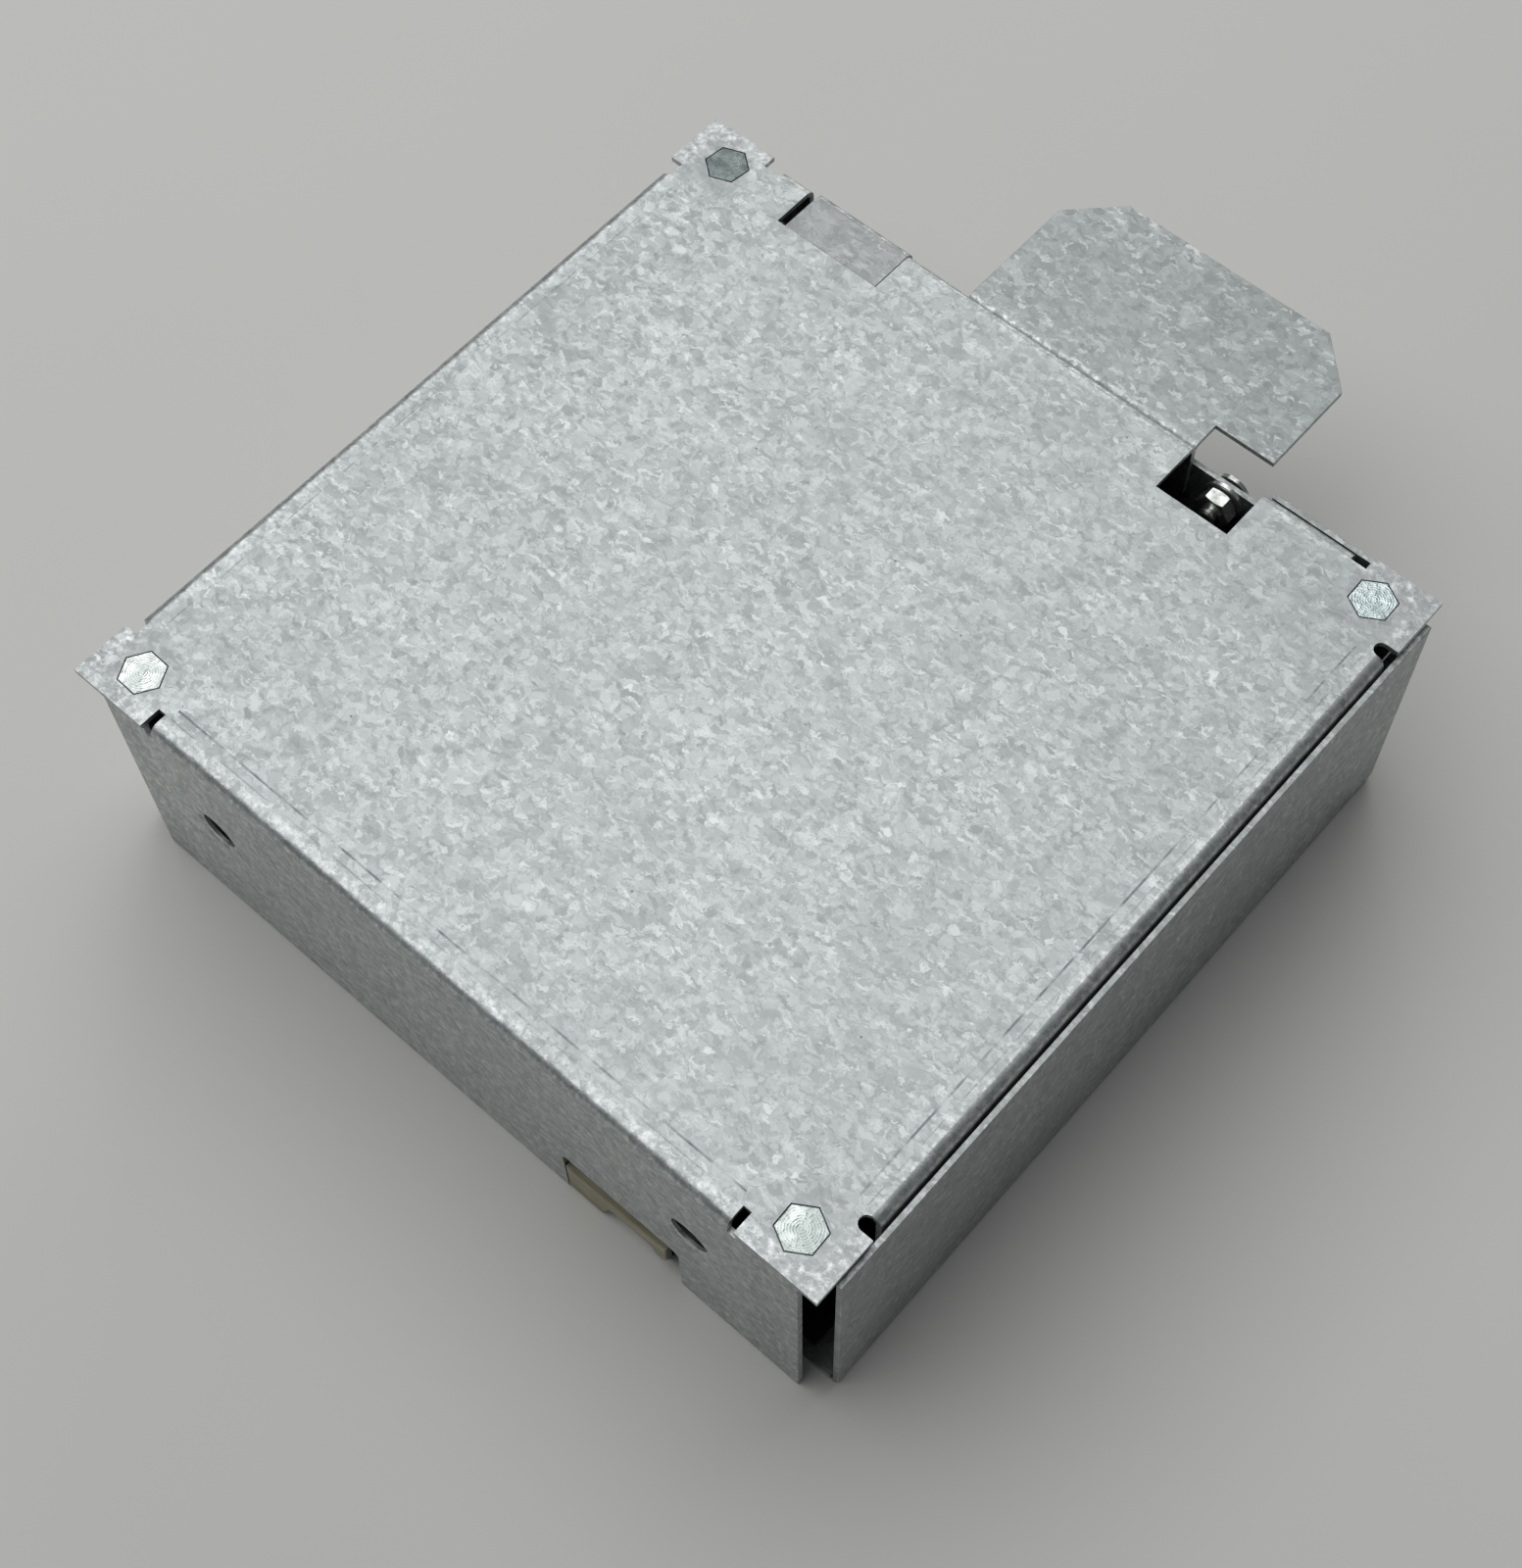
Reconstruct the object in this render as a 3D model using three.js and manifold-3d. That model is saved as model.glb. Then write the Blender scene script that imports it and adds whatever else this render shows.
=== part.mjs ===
// Sheet-metal electrical junction box, millimetres, +Z up.
// It stands on the back of its body, lid on top. The body is a tray with three walls, a hook tab
// and an octagonal flap; the lid carries the fourth wall, four clinched standoffs and the terminal board.
// Lengths below are taken from the lid's front-left corner; the whole part is centred at the end.
import * as THREE from "three";
import { mergeVertices } from "three/addons/utils/BufferGeometryUtils.js";
import Module from "manifold-3d";

const wasm = await Module();
wasm.setup();

// ---- driving dimensions ----
const sheet = 1.2; // galvanised sheet thickness
const bendInner = 1; // inside radius of every fold
const bendOuter = bendInner + sheet;
const patternX = 160; // standoff pitch, left to right
const patternY = 160; // standoff pitch, front to back
const earMarginX = 10; // lid edge to standoff, left and right
const earMarginY = 7.8; // lid edge to standoff, front and back
const lidWidth = patternX + 2 * earMarginX;
const lidDepth = patternY + 2 * earMarginY;
const height = 61; // lid's outer face above the back
const standoffLength = 12; // below the lid sheet
const flangeDepth = 15;
const terminalPoles = 5;
const terminalPitch = 11;

// ---- clearances ----
const gap = 0.3; // between pieces that bear on each other
const sideGap = 0.5; // lid's side flange to the body wall around it
const backGap = 0.4; // lid's back flange to the body's back wall
const tabGap = 1.5; // lid's front wall to the nut tabs behind it
const floorGap = 0.3; // lid's front wall above the standing surface

// ---- lid ----
const lidUnder = height - sheet;
const frontFace = 0.4; // outer face of the lid's front wall, behind the ear edge
const sideFace = 0.7; // outer face of the side flanges, behind the ear edge
const backFace = 0.9; // outer face of the back flange
const frontWall = [6.7, lidWidth - 4.5];
const frontSlot = { inset: 18, width: 1.8, depth: 4.6 };
const leftBend = [16, lidDepth - 17.6];
const leftRelief = [12.6, lidDepth - 13.7];
const rightBend = [17, lidDepth - 17.1];
const rightRelief = [14, lidDepth - 14.1];
const rightReliefDepth = 4.2;
const backBend = [20.2, lidWidth - 18.4];
const backRelief = [16, lidWidth - 15];
const hookNotch = { x: [27.5, 53.4], depth: 12.1 }; // depth from the lid's back edge
const earthCut = { x: [lidWidth - 55.6, lidWidth - 39], depth: 13.8 };
const screwHoleX = [30, lidWidth - 30];
const screwHoleZ = height - 27.5;
const screwHoleR = 4.2;
const sinkR = 5.2; // shallow countersink around each screw hole
const sinkDepth = 0.5;
const cableCut = { x: [lidWidth - 62, lidWidth - 33.1], top: 17, corner: 1.5 };

// ---- body ----
const wallInLeft = sideFace - sideGap;
const wallInRight = lidWidth - sideFace + sideGap;
const wallInBack = lidDepth - backFace + backGap;
const wallOutBack = wallInBack + sheet;
const leftWallTop = height - 11;
const rightWallTop = height - 2.4;
const sideWallBackEnd = lidDepth - 4.1;
const panelFront = 5;
const backWall = [4, lidWidth - 4];
const backTop = { left: leftWallTop, neck: height - 6, earth: height - 7, right: lidUnder - gap };
const hook = { x: [28.6, 52.5], top: lidUnder - gap, reach: 5 };
const flap = {
  x: [67.5, lidWidth - 42.6], neckRight: lidWidth - 56.3, step: 6.7,
  end: 39.2, top: height - 2.5, chamfer: 10.2,
};
const nutTab = { half: 5.5, face: frontFace + sheet + tabGap, top: screwHoleZ + 8.5, boreR: 3.3 };
const trimWall = 0.9; // wall thickness of the edge trim
const cableTongue = { x: [lidWidth - 60.8, lidWidth - 37.6], face: frontFace + trimWall + gap, top: 10.3 };
const mountInset = 20; // mounting holes stand this far inside the standoffs, each way
const mountPitch = [patternX - 2 * mountInset, patternY - 2 * mountInset];
const mountHoleR = 2.75;

// ---- fasteners and inner pieces ----
const headFlats = 8; // standoff head across flats
const headGap = 0.2;
const headDepth = 0.9;
const standoffR = 3.5;
const threadR = 2; // M4
const threadDepth = 9;
const board = { inset: [4, 3.2], thickness: 1.6, hookDepth: 13.3 }; // a notch this deep clears the hook
const boardUnder = lidUnder - standoffLength - 0.1 - board.thickness;
const liner = { x: [6.6, lidWidth - 6.6], y: [7.5, lidDepth - 5.6], thickness: 1 };
const rivetInset = [15, 20];
const earth = { x: lidWidth - 47.4, z: height - 10.4 };

// ---- shape helpers ----
function toSolid(geometry) {
  const bare = geometry.index ? geometry.toNonIndexed() : geometry.clone();
  bare.deleteAttribute("normal");
  bare.deleteAttribute("uv");
  const merged = mergeVertices(bare, 1e-5);
  return new wasm.Manifold(new wasm.Mesh({
    numProp: 3,
    vertProperties: new Float32Array(merged.attributes.position.array),
    triVerts: new Uint32Array(merged.index.array),
  }));
}

function toGeometry(solid) {
  const mesh = solid.getMesh();
  const geometry = new THREE.BufferGeometry();
  geometry.setAttribute("position", new THREE.BufferAttribute(new Float32Array(mesh.vertProperties), 3));
  geometry.setIndex(new THREE.BufferAttribute(new Uint32Array(mesh.triVerts), 1));
  return geometry;
}

const joined = (first, ...rest) => rest.reduce((sum, piece) => sum.add(piece), first);
const cut = (first, ...rest) => rest.reduce((sum, piece) => sum.subtract(piece), first);

function box(x, y, z) {
  const geometry = new THREE.BoxGeometry(x[1] - x[0], y[1] - y[0], z[1] - z[0]);
  geometry.translate((x[0] + x[1]) / 2, (y[0] + y[1]) / 2, (z[0] + z[1]) / 2);
  return toSolid(geometry);
}

function shapeOf(points) {
  return new THREE.Shape(points.map(([u, v]) => new THREE.Vector2(u, v)));
}

// Outline in X and Y, extruded up from z[0] to z[1].
function plateOf(points, z) {
  const geometry = new THREE.ExtrudeGeometry(shapeOf(points), { depth: z[1] - z[0], bevelEnabled: false });
  geometry.translate(0, 0, z[0]);
  return toSolid(geometry);
}

// Outline in X and Z, extruded from y[0] to y[1].
function wallOf(points, y) {
  const geometry = new THREE.ExtrudeGeometry(shapeOf(points), { depth: y[1] - y[0], bevelEnabled: false });
  geometry.rotateX(Math.PI / 2);
  geometry.translate(0, y[1], 0);
  return toSolid(geometry);
}

// Outline in Y and Z, extruded from x[0] to x[1].
function sectionOf(points, x) {
  const geometry = new THREE.ExtrudeGeometry(shapeOf(points), { depth: x[1] - x[0], bevelEnabled: false });
  geometry.rotateX(Math.PI / 2);
  geometry.rotateZ(Math.PI / 2);
  geometry.translate(x[0], 0, 0);
  return toSolid(geometry);
}

// A quarter ring: the section of a fold about a centre, from one quadrant start angle.
function foldSection(centre, quadrant, steps = 5) {
  const points = [];
  for (const [radius, order] of [[bendOuter, 1], [bendInner, -1]]) {
    for (let i = 0; i <= steps; i += 1) {
      const turn = (quadrant + (order > 0 ? i : steps - i) / steps) * Math.PI / 2;
      points.push([centre[0] + radius * Math.cos(turn), centre[1] + radius * Math.sin(turn)]);
    }
  }
  return points;
}

// Solid of revolution about +Z at (x, y); the profile is [radius, z] from axis to axis.
function turned(profile, x, y, segments = 24) {
  const geometry = new THREE.LatheGeometry(profile.map(([r, z]) => new THREE.Vector2(r, z)), segments);
  geometry.rotateX(Math.PI / 2);
  geometry.translate(x, y, 0);
  return toSolid(geometry);
}

const rod = (r, z, x, y, segments = 24) => turned(
  [[0, z[0]], [r, z[0]], [r, z[1]], [0, z[1]]], x, y, segments);

// The same rod lying along Y at (x, z).
function crossRod(profile, x, z, segments = 24) {
  const geometry = new THREE.LatheGeometry(profile.map(([r, y]) => new THREE.Vector2(r, y)), segments);
  geometry.translate(x, 0, z);
  return toSolid(geometry);
}
const hole = (r, y, x, z, segments = 24) => crossRod(
  [[0, y[0]], [r, y[0]], [r, y[1]], [0, y[1]]], x, z, segments);

function hexagon(flats, turnDegrees, x, y) {
  const radius = flats / Math.sqrt(3);
  return Array.from({ length: 6 }, (_, i) => {
    const turn = (turnDegrees + 60 * i) * Math.PI / 180;
    return [x + radius * Math.cos(turn), y + radius * Math.sin(turn)];
  });
}

function roundedTop(x, z, corner, steps = 4) {
  const points = [[x[0], z[0]], [x[1], z[0]]];
  for (let i = 0; i <= steps; i += 1) {
    const turn = i / steps * Math.PI / 2;
    points.push([x[1] - corner + corner * Math.cos(turn), z[1] - corner + corner * Math.sin(turn)]);
  }
  for (let i = 0; i <= steps; i += 1) {
    const turn = (1 + i / steps) * Math.PI / 2;
    points.push([x[0] + corner + corner * Math.cos(turn), z[1] - corner + corner * Math.sin(turn)]);
  }
  return points;
}

// ---- materials ----
const material = (color, roughness, metalness) => (
  new THREE.MeshStandardMaterial({ color, roughness, metalness }));
const galvanised = material(0xb9bfc1, 0.42, 0.85);
const zincPlate = material(0xcfd8d8, 0.3, 0.9);
const steelScrew = material(0xd2d3d0, 0.28, 0.95);
const laminate = material(0x2b2b25, 0.6, 0);
const nylon = material(0xa39a6c, 0.55, 0);
const boardBlack = material(0x1f2421, 0.5, 0);
const housingGrey = material(0x8c9093, 0.6, 0);
const brass = material(0xb8954f, 0.35, 0.9);

const group = new THREE.Group();
const part = new THREE.Group();
part.position.set(-lidWidth / 2, -lidDepth / 2, 0);
group.add(part);

function place(name, solid, look) {
  const mesh = new THREE.Mesh(toGeometry(solid), look);
  mesh.name = name;
  part.add(mesh);
}

// ---- lid shell ----
const standoffSpots = [
  ["standoff_front_left", earMarginX, earMarginY, 58],
  ["standoff_front_right", lidWidth - earMarginX, earMarginY, 32.5],
  ["standoff_back_left", earMarginX, lidDepth - earMarginY, 22],
  ["standoff_back_right", lidWidth - earMarginX, lidDepth - earMarginY, 31.5],
];

function lidPlate() {
  const through = [lidUnder - 1, height + 1];
  const frontIn = frontFace + bendOuter;
  const sideIn = sideFace + bendOuter;
  const backIn = backFace + bendOuter;
  const slots = [frontSlot.inset, lidWidth - frontSlot.inset - frontSlot.width];
  let plate = box([0, lidWidth], [0, lidDepth], [lidUnder, height]);
  plate = cut(
    plate,
    box([frontSlot.inset, lidWidth - frontSlot.inset], [-1, frontIn], through),
    box([-1, sideIn], leftRelief, through),
    box([lidWidth - sideIn, lidWidth + 1], rightRelief, through),
    box(backRelief, [lidDepth - backIn, lidDepth + 1], through),
    ...slots.map((x) => box([x, x + frontSlot.width], [-1, frontSlot.depth], through)),
  );
  const reliefWidth = rightBend[0] - rightRelief[0];
  for (const y of [rightRelief[0], rightRelief[1] - reliefWidth]) {
    const r = reliefWidth / 2;
    plate = cut(
      plate,
      box([lidWidth - rightReliefDepth + r, lidWidth + 1], [y, y + reliefWidth], through),
      rod(r, through, lidWidth - rightReliefDepth + r, y + r, 16),
    );
  }
  return plate;
}

function lidFrontWall() {
  const top = height - bendOuter;
  const bendX = [frontSlot.inset + frontSlot.width, lidWidth - frontSlot.inset - frontSlot.width];
  const underEar = lidUnder - gap;
  const slotFloor = height - 4;
  const outline = [
    [frontWall[0], floorGap], [frontWall[1], floorGap], [frontWall[1], underEar],
    [lidWidth - frontSlot.inset, underEar], [lidWidth - frontSlot.inset, slotFloor],
    [bendX[1], slotFloor], [bendX[1], top], [bendX[0], top], [bendX[0], slotFloor],
    [frontSlot.inset, slotFloor], [frontSlot.inset, underEar], [frontWall[0], underEar],
  ];
  let wall = wallOf(outline, [frontFace, frontFace + sheet]);
  const fold = sectionOf(foldSection([frontFace + bendOuter, top], 1), bendX);
  wall = wall.add(fold);
  for (const x of screwHoleX) {
    const sink = crossRod(
      [[0, frontFace - 1], [sinkR, frontFace - 1], [sinkR, frontFace], [screwHoleR, frontFace + sinkDepth],
        [0, frontFace + sinkDepth]], x, screwHoleZ, 32);
    wall = cut(wall, sink, hole(screwHoleR, [-2, 6], x, screwHoleZ, 32));
  }
  return wall.subtract(wallOf(roundedTop(cableCut.x, [-2, cableCut.top], cableCut.corner), [-2, 4]));
}

function lidFlanges() {
  const z = [height - flangeDepth, height - bendOuter];
  const foldZ = height - bendOuter;
  const left = joined(
    box([sideFace, sideFace + sheet], leftBend, z),
    wallOf(foldSection([sideFace + bendOuter, foldZ], 1), leftBend));
  const right = joined(
    box([lidWidth - sideFace - sheet, lidWidth - sideFace], rightBend, z),
    wallOf(foldSection([lidWidth - sideFace - bendOuter, foldZ], 0), rightBend));
  const back = joined(
    box(backBend, [lidDepth - backFace - sheet, lidDepth - backFace], z),
    sectionOf(foldSection([lidDepth - backFace - bendOuter, foldZ], 0), backBend));
  return [left, right, back];
}

function lidShell() {
  let shell = joined(lidPlate(), lidFrontWall(), ...lidFlanges());
  const depthRange = [height - flangeDepth - 1, height + 1];
  shell = cut(
    shell,
    box(hookNotch.x, [lidDepth - hookNotch.depth, lidDepth + 1], depthRange),
    box(earthCut.x, [lidDepth - earthCut.depth, lidDepth + 1], depthRange),
  );
  for (const [, x, y, turn] of standoffSpots) {
    shell = cut(
      shell,
      plateOf(hexagon(headFlats + 2 * headGap, turn, x, y), [height - headDepth - 0.1, height + 1]),
      rod(standoffR + headGap, [lidUnder - 1, height], x, y),
    );
  }
  return shell;
}
place("lid_shell", lidShell(), galvanised);

// ---- clinched standoffs: blind thread, open below ----
for (const [name, x, y, turn] of standoffSpots) {
  const end = lidUnder - standoffLength;
  const head = plateOf(hexagon(headFlats, turn, x, y), [height - headDepth, height]);
  const barrel = rod(standoffR, [end, height - headDepth / 2], x, y);
  const bore = rod(threadR, [end - 1, end + threadDepth], x, y, 16);
  place(name, cut(head.add(barrel), bore), zincPlate);
}

// ---- body shell ----
function bodyBackOutline() {
  const [left, right] = backWall;
  const floor = bendOuter;
  const hookFold = hook.top - bendOuter;
  const flapFold = flap.top - bendOuter;
  return [
    [left, floor], [right, floor], [right, backTop.right], [earthCut.x[1] + 1, backTop.right],
    [earthCut.x[1] + 1, backTop.earth], [flap.neckRight, backTop.earth], [flap.neckRight, flapFold],
    [flap.x[0], flapFold], [flap.x[0], backTop.neck], [hook.x[1], backTop.neck], [hook.x[1], hookFold],
    [hook.x[0], hookFold], [hook.x[0], backTop.left], [left, backTop.left],
  ];
}

function flapOutline() {
  const [left, right] = flap.x;
  const start = wallOutBack + bendInner;
  const end = lidDepth + flap.end;
  const c = flap.chamfer;
  const step = lidDepth + flap.step;
  return [
    [left, start], [flap.neckRight, start], [flap.neckRight, step], [right, step], [right, end - c],
    [right - c, end], [left + c, end], [left, end - c],
  ];
}

function nutTabs() {
  const pieces = [];
  for (const x of screwHoleX) {
    const range = [x - nutTab.half, x + nutTab.half];
    const fold = nutTab.face + bendOuter;
    pieces.push(
      wallOf(roundedTop(range, [bendOuter, nutTab.top], 3), [nutTab.face, nutTab.face + sheet])
        .subtract(hole(nutTab.boreR, [0, 8], x, screwHoleZ)),
      sectionOf(foldSection([fold, bendOuter], 2), range),
      box(range, [fold, fold + 1.8], [0, sheet]),
    );
  }
  return pieces;
}

function bodyShell() {
  const [panelBack, wallFront] = [wallOutBack - bendOuter, panelFront];
  const outLeft = wallInLeft - sheet;
  const outRight = wallInRight + sheet;
  const sides = [
    [box([outLeft, wallInLeft], [wallFront, sideWallBackEnd], [bendOuter, leftWallTop]),
      wallOf(foldSection([outLeft + bendOuter, bendOuter], 2), [wallFront, sideWallBackEnd])],
    [box([wallInRight, outRight], [wallFront, sideWallBackEnd], [bendOuter, rightWallTop]),
      wallOf(foldSection([outRight - bendOuter, bendOuter], 3), [wallFront, sideWallBackEnd])],
  ].flat();
  let panel = joined(
    box([outLeft + bendOuter, outRight - bendOuter], [wallFront, sideWallBackEnd], [0, sheet]),
    box(backWall, [sideWallBackEnd - 1, panelBack], [0, sheet]),
  );
  for (const x of screwHoleX) {
    const slit = nutTab.half + 1.5;
    panel = panel.subtract(box([x - slit, x + slit], [0, nutTab.face + bendOuter + 1], [-1, 3]));
  }
  for (const sx of [-1, 1]) {
    for (const sy of [-1, 1]) {
      const [mx, my] = [lidWidth / 2 + sx * mountPitch[0] / 2, lidDepth / 2 + sy * mountPitch[1] / 2];
      const rx = lidWidth / 2 + sx * (lidWidth / 2 - rivetInset[0]);
      const ry = lidDepth / 2 + sy * (lidDepth / 2 - rivetInset[1]);
      panel = cut(panel, rod(mountHoleR, [-1, 3], mx, my), rod(2.8, [-1, 3], rx, ry, 16));
    }
  }
  const tongueFold = cableTongue.face + bendOuter;
  const tongue = joined(
    box(cableTongue.x, [cableTongue.face, cableTongue.face + sheet], [bendOuter, cableTongue.top]),
    sectionOf(foldSection([tongueFold, bendOuter], 2), cableTongue.x),
    box(cableTongue.x, [tongueFold, wallFront + 1], [0, sheet]),
  );
  const back = joined(
    wallOf(bodyBackOutline(), [wallInBack, wallOutBack]),
    sectionOf(foldSection([panelBack, bendOuter], 3), backWall),
  ).subtract(hole(2.3, [wallInBack - 1, wallOutBack + 1], earth.x, earth.z, 16));
  const hookTab = joined(
    sectionOf(foldSection([panelBack, hook.top - bendOuter], 0), hook.x),
    box(hook.x, [lidDepth - hookNotch.depth - hook.reach, panelBack], [hook.top - sheet, hook.top]),
  );
  const flapFoldCentre = [wallOutBack + bendInner, flap.top - bendOuter];
  const flapSheet = joined(
    sectionOf(foldSection(flapFoldCentre, 1), [flap.x[0], flap.neckRight]),
    plateOf(flapOutline(), [flap.top - sheet, flap.top]),
  );
  return joined(panel, ...sides, back, hookTab, flapSheet, tongue, ...nutTabs());
}
place("body_shell", bodyShell(), galvanised);

// ---- clinch nuts behind the lid's two screw holes ----
["left", "right"].forEach((side, i) => {
  const tabBack = nutTab.face + sheet;
  const pilot = nutTab.boreR - gap;
  const nut = crossRod([
    [0, nutTab.face + 0.1], [pilot, nutTab.face + 0.1], [pilot, tabBack + gap], [4.8, tabBack + gap],
    [4.8, tabBack + 3.6], [4.2, tabBack + 4], [0, tabBack + 4],
  ], screwHoleX[i], screwHoleZ);
  place(`clinch_nut_${side}`, nut.subtract(hole(2.2, [0, 12], screwHoleX[i], screwHoleZ, 16)), zincPlate);
});

// ---- edge trim clipped over the tongue in the cable opening, its face level with the lid's front wall ----
function cableTrim() {
  const [left, right] = [cableTongue.x[0] - trimWall, cableTongue.x[1] + trimWall];
  const front = cableTongue.face - gap;
  const back = cableTongue.face + sheet + gap;
  const top = cableTongue.top + gap + trimWall;
  const lip = { left: 0.9, middle: 7.2, lobe: 4.7 }; // how low the front lip hangs
  const r = 1.7; // rounded lobe at the right end
  const lobe = Array.from({ length: 9 }, (_, i) => {
    const turn = Math.PI * (1 + i / 8);
    return [right - r + r * Math.cos(turn), lip.lobe + r + r * Math.sin(turn)];
  });
  const outline = [
    [left, lip.left], [left + 8.2, lip.left], [left + 10.4, lip.middle - 1], [left + 11.6, lip.middle],
    [right - 2 * r, lip.middle], ...lobe, [right, top], [left, top],
  ];
  return joined(
    wallOf(outline, [front - trimWall, front]),
    box([left, right], [front - 0.4, back + 0.4], [top - trimWall, top]),
    box([left + 1.5, right - 1.5], [back, back + trimWall], [top - 6, top]),
  );
}
place("cable_edge_trim", cableTrim(), nylon);

// ---- insulating liner on the back, held by push rivets ----
function corners(insetX, insetY) {
  return [
    ["front_left", insetX, insetY], ["front_right", lidWidth - insetX, insetY],
    ["back_left", insetX, lidDepth - insetY], ["back_right", lidWidth - insetX, lidDepth - insetY],
  ];
}
const linerZ = [sheet + gap, sheet + gap + liner.thickness];
function linerSheet() {
  let solid = box(liner.x, liner.y, linerZ);
  const range = [linerZ[0] - 1, linerZ[1] + 1];
  for (const [, x, y] of corners((lidWidth - mountPitch[0]) / 2, (lidDepth - mountPitch[1]) / 2)) {
    solid = solid.subtract(rod(7, range, x, y));
  }
  for (const [, x, y] of corners(...rivetInset)) solid = solid.subtract(rod(2.8, range, x, y, 16));
  return solid;
}
place("insulating_liner", linerSheet(), laminate);
for (const [corner, x, y] of corners(...rivetInset)) {
  const seat = linerZ[1] + gap;
  const rivet = turned([[0, 0.2], [2.5, 0.2], [2.5, seat], [4.5, seat], [4.2, seat + 0.8], [2.8, seat + 1.2],
    [0, seat + 1.2]], x, y, 16);
  place(`liner_rivet_${corner}`, rivet, nylon);
}

// ---- earth screw through the back wall ----
function earthHardware() {
  const out = wallOutBack + gap;
  const inn = wallInBack - gap;
  const screw = crossRod([
    [0, inn - 6.2], [1.6, inn - 6.2], [2, inn - 5.6], [2, out], [4, out], [3.9, out + 0.9], [3, out + 1.7],
    [1.6, out + 2.1], [0, out + 2.1],
  ], earth.x, earth.z, 20);
  const cross = [
    box([earth.x - 2, earth.x + 2], [out + 1, out + 3], [earth.z - 0.45, earth.z + 0.45]),
    box([earth.x - 0.45, earth.x + 0.45], [out + 1, out + 3], [earth.z - 2, earth.z + 2]),
  ];
  place("earth_screw", cut(screw, ...cross), steelScrew);
  const washer = hole(4.4, [inn - 1, inn], earth.x, earth.z, 16)
    .subtract(hole(2.3, [inn - 3, inn + 2], earth.x, earth.z, 16));
  place("earth_washer", washer, steelScrew);
  const nutBack = inn - 1 - gap;
  const nut = wallOf(hexagon(7, 30, earth.x, earth.z), [nutBack - 3.2, nutBack])
    .subtract(hole(2.3, [nutBack - 5, nutBack + 2], earth.x, earth.z, 16));
  place("earth_nut", nut, steelScrew);
}
earthHardware();

// ---- terminal board on the standoffs ----
const terminal = {
  x: lidWidth / 2, y: 52, depth: 24, tall: 18, ear: 9, earTall: 6, slotWidth: 8.6, slotTall: 8, barTall: 7,
};
terminal.half = terminalPoles * terminalPitch / 2;
const blockTop = boardUnder - 0.1;
const fixingX = [-1, 1].map((side) => terminal.x + side * (terminal.half + terminal.ear / 2));

function terminalBoard() {
  const [ix, iy] = board.inset;
  const z = [boardUnder, boardUnder + board.thickness];
  const through = [z[0] - 1, z[1] + 1];
  const solid = box([ix, lidWidth - ix], [iy, lidDepth - iy], z);
  const earthNotch = box([earthCut.x[0] - 2, earthCut.x[1] + 2], [lidDepth - 16, lidDepth], through);
  const hookNotched = box([hook.x[0] - 2, hook.x[1] + 2], [lidDepth - board.hookDepth, lidDepth], through);
  return cut(
    solid, earthNotch, hookNotched,
    ...standoffSpots.map(([, x, y]) => rod(threadR + 0.25, through, x, y, 16)),
    ...fixingX.map((x) => rod(1.8, through, x, terminal.y, 12)),
  );
}
place("terminal_board", terminalBoard(), boardBlack);

function driven(solid, x, y, z) {
  return cut(
    solid,
    box([x - 2, x + 2], [y - 0.45, y + 0.45], z),
    box([x - 0.45, x + 0.45], [y - 2, y + 2], z),
  );
}
standoffSpots.forEach(([name, x, y]) => {
  const corner = name.replace("standoff_", "");
  const washerZ = [boardUnder - 0.1 - 0.8, boardUnder - 0.1];
  const washer = rod(4.2, washerZ, x, y, 20).subtract(rod(threadR + 0.25, [0, height], x, y, 16));
  place(`board_washer_${corner}`, washer, steelScrew);
  const seat = washerZ[0] - 0.1;
  const screw = turned([
    [0, seat - 2.6], [2, seat - 2.6], [3.3, seat - 2], [3.8, seat - 1], [3.8, seat], [1.7, seat],
    [1.7, boardUnder + board.thickness + 6.5], [0, boardUnder + board.thickness + 6.5],
  ], x, y, 20);
  place(`board_screw_${corner}`, driven(screw, x, y, [seat - 4, seat - 1.4]), steelScrew);
});

// ---- terminal block: one brass bar and two clamp screws to each pole ----
const poleX = Array.from(
  { length: terminalPoles }, (_, i) => terminal.x + (i - (terminalPoles - 1) / 2) * terminalPitch);
const barLow = blockTop - 2 - terminal.slotTall + gap;
const barZ = [barLow, barLow + terminal.barTall];
const clampY = [-1, 1].map((side) => terminal.y + side * 6.2);

function terminalHousing() {
  const y = [terminal.y - terminal.depth / 2, terminal.y + terminal.depth / 2];
  const bottom = blockTop - terminal.tall;
  const core = box([terminal.x - terminal.half, terminal.x + terminal.half], y, [bottom, blockTop]);
  const ears = box(
    [terminal.x - terminal.half - terminal.ear, terminal.x + terminal.half + terminal.ear],
    [terminal.y - 5, terminal.y + 5], [blockTop - terminal.earTall, blockTop]);
  let housing = core.add(ears);
  for (const x of poleX) {
    const half = terminal.slotWidth / 2;
    housing = cut(
      housing,
      box([x - half, x + half], [y[0] - 1, y[1] + 1], [blockTop - 2 - terminal.slotTall, blockTop - 2]),
      box([x - 0.8, x + 0.8], [y[0] - 1, y[0] + 1], [bottom - 1, blockTop - 12]),
      ...clampY.map((cy) => rod(3, [bottom - 1, blockTop - 2 - terminal.slotTall + 1], x, cy, 12)),
    );
  }
  return cut(housing, ...fixingX.map((x) => rod(1.8, [bottom - 1, blockTop + 1], x, terminal.y, 12)));
}
place("terminal_housing", terminalHousing(), housingGrey);

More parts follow.
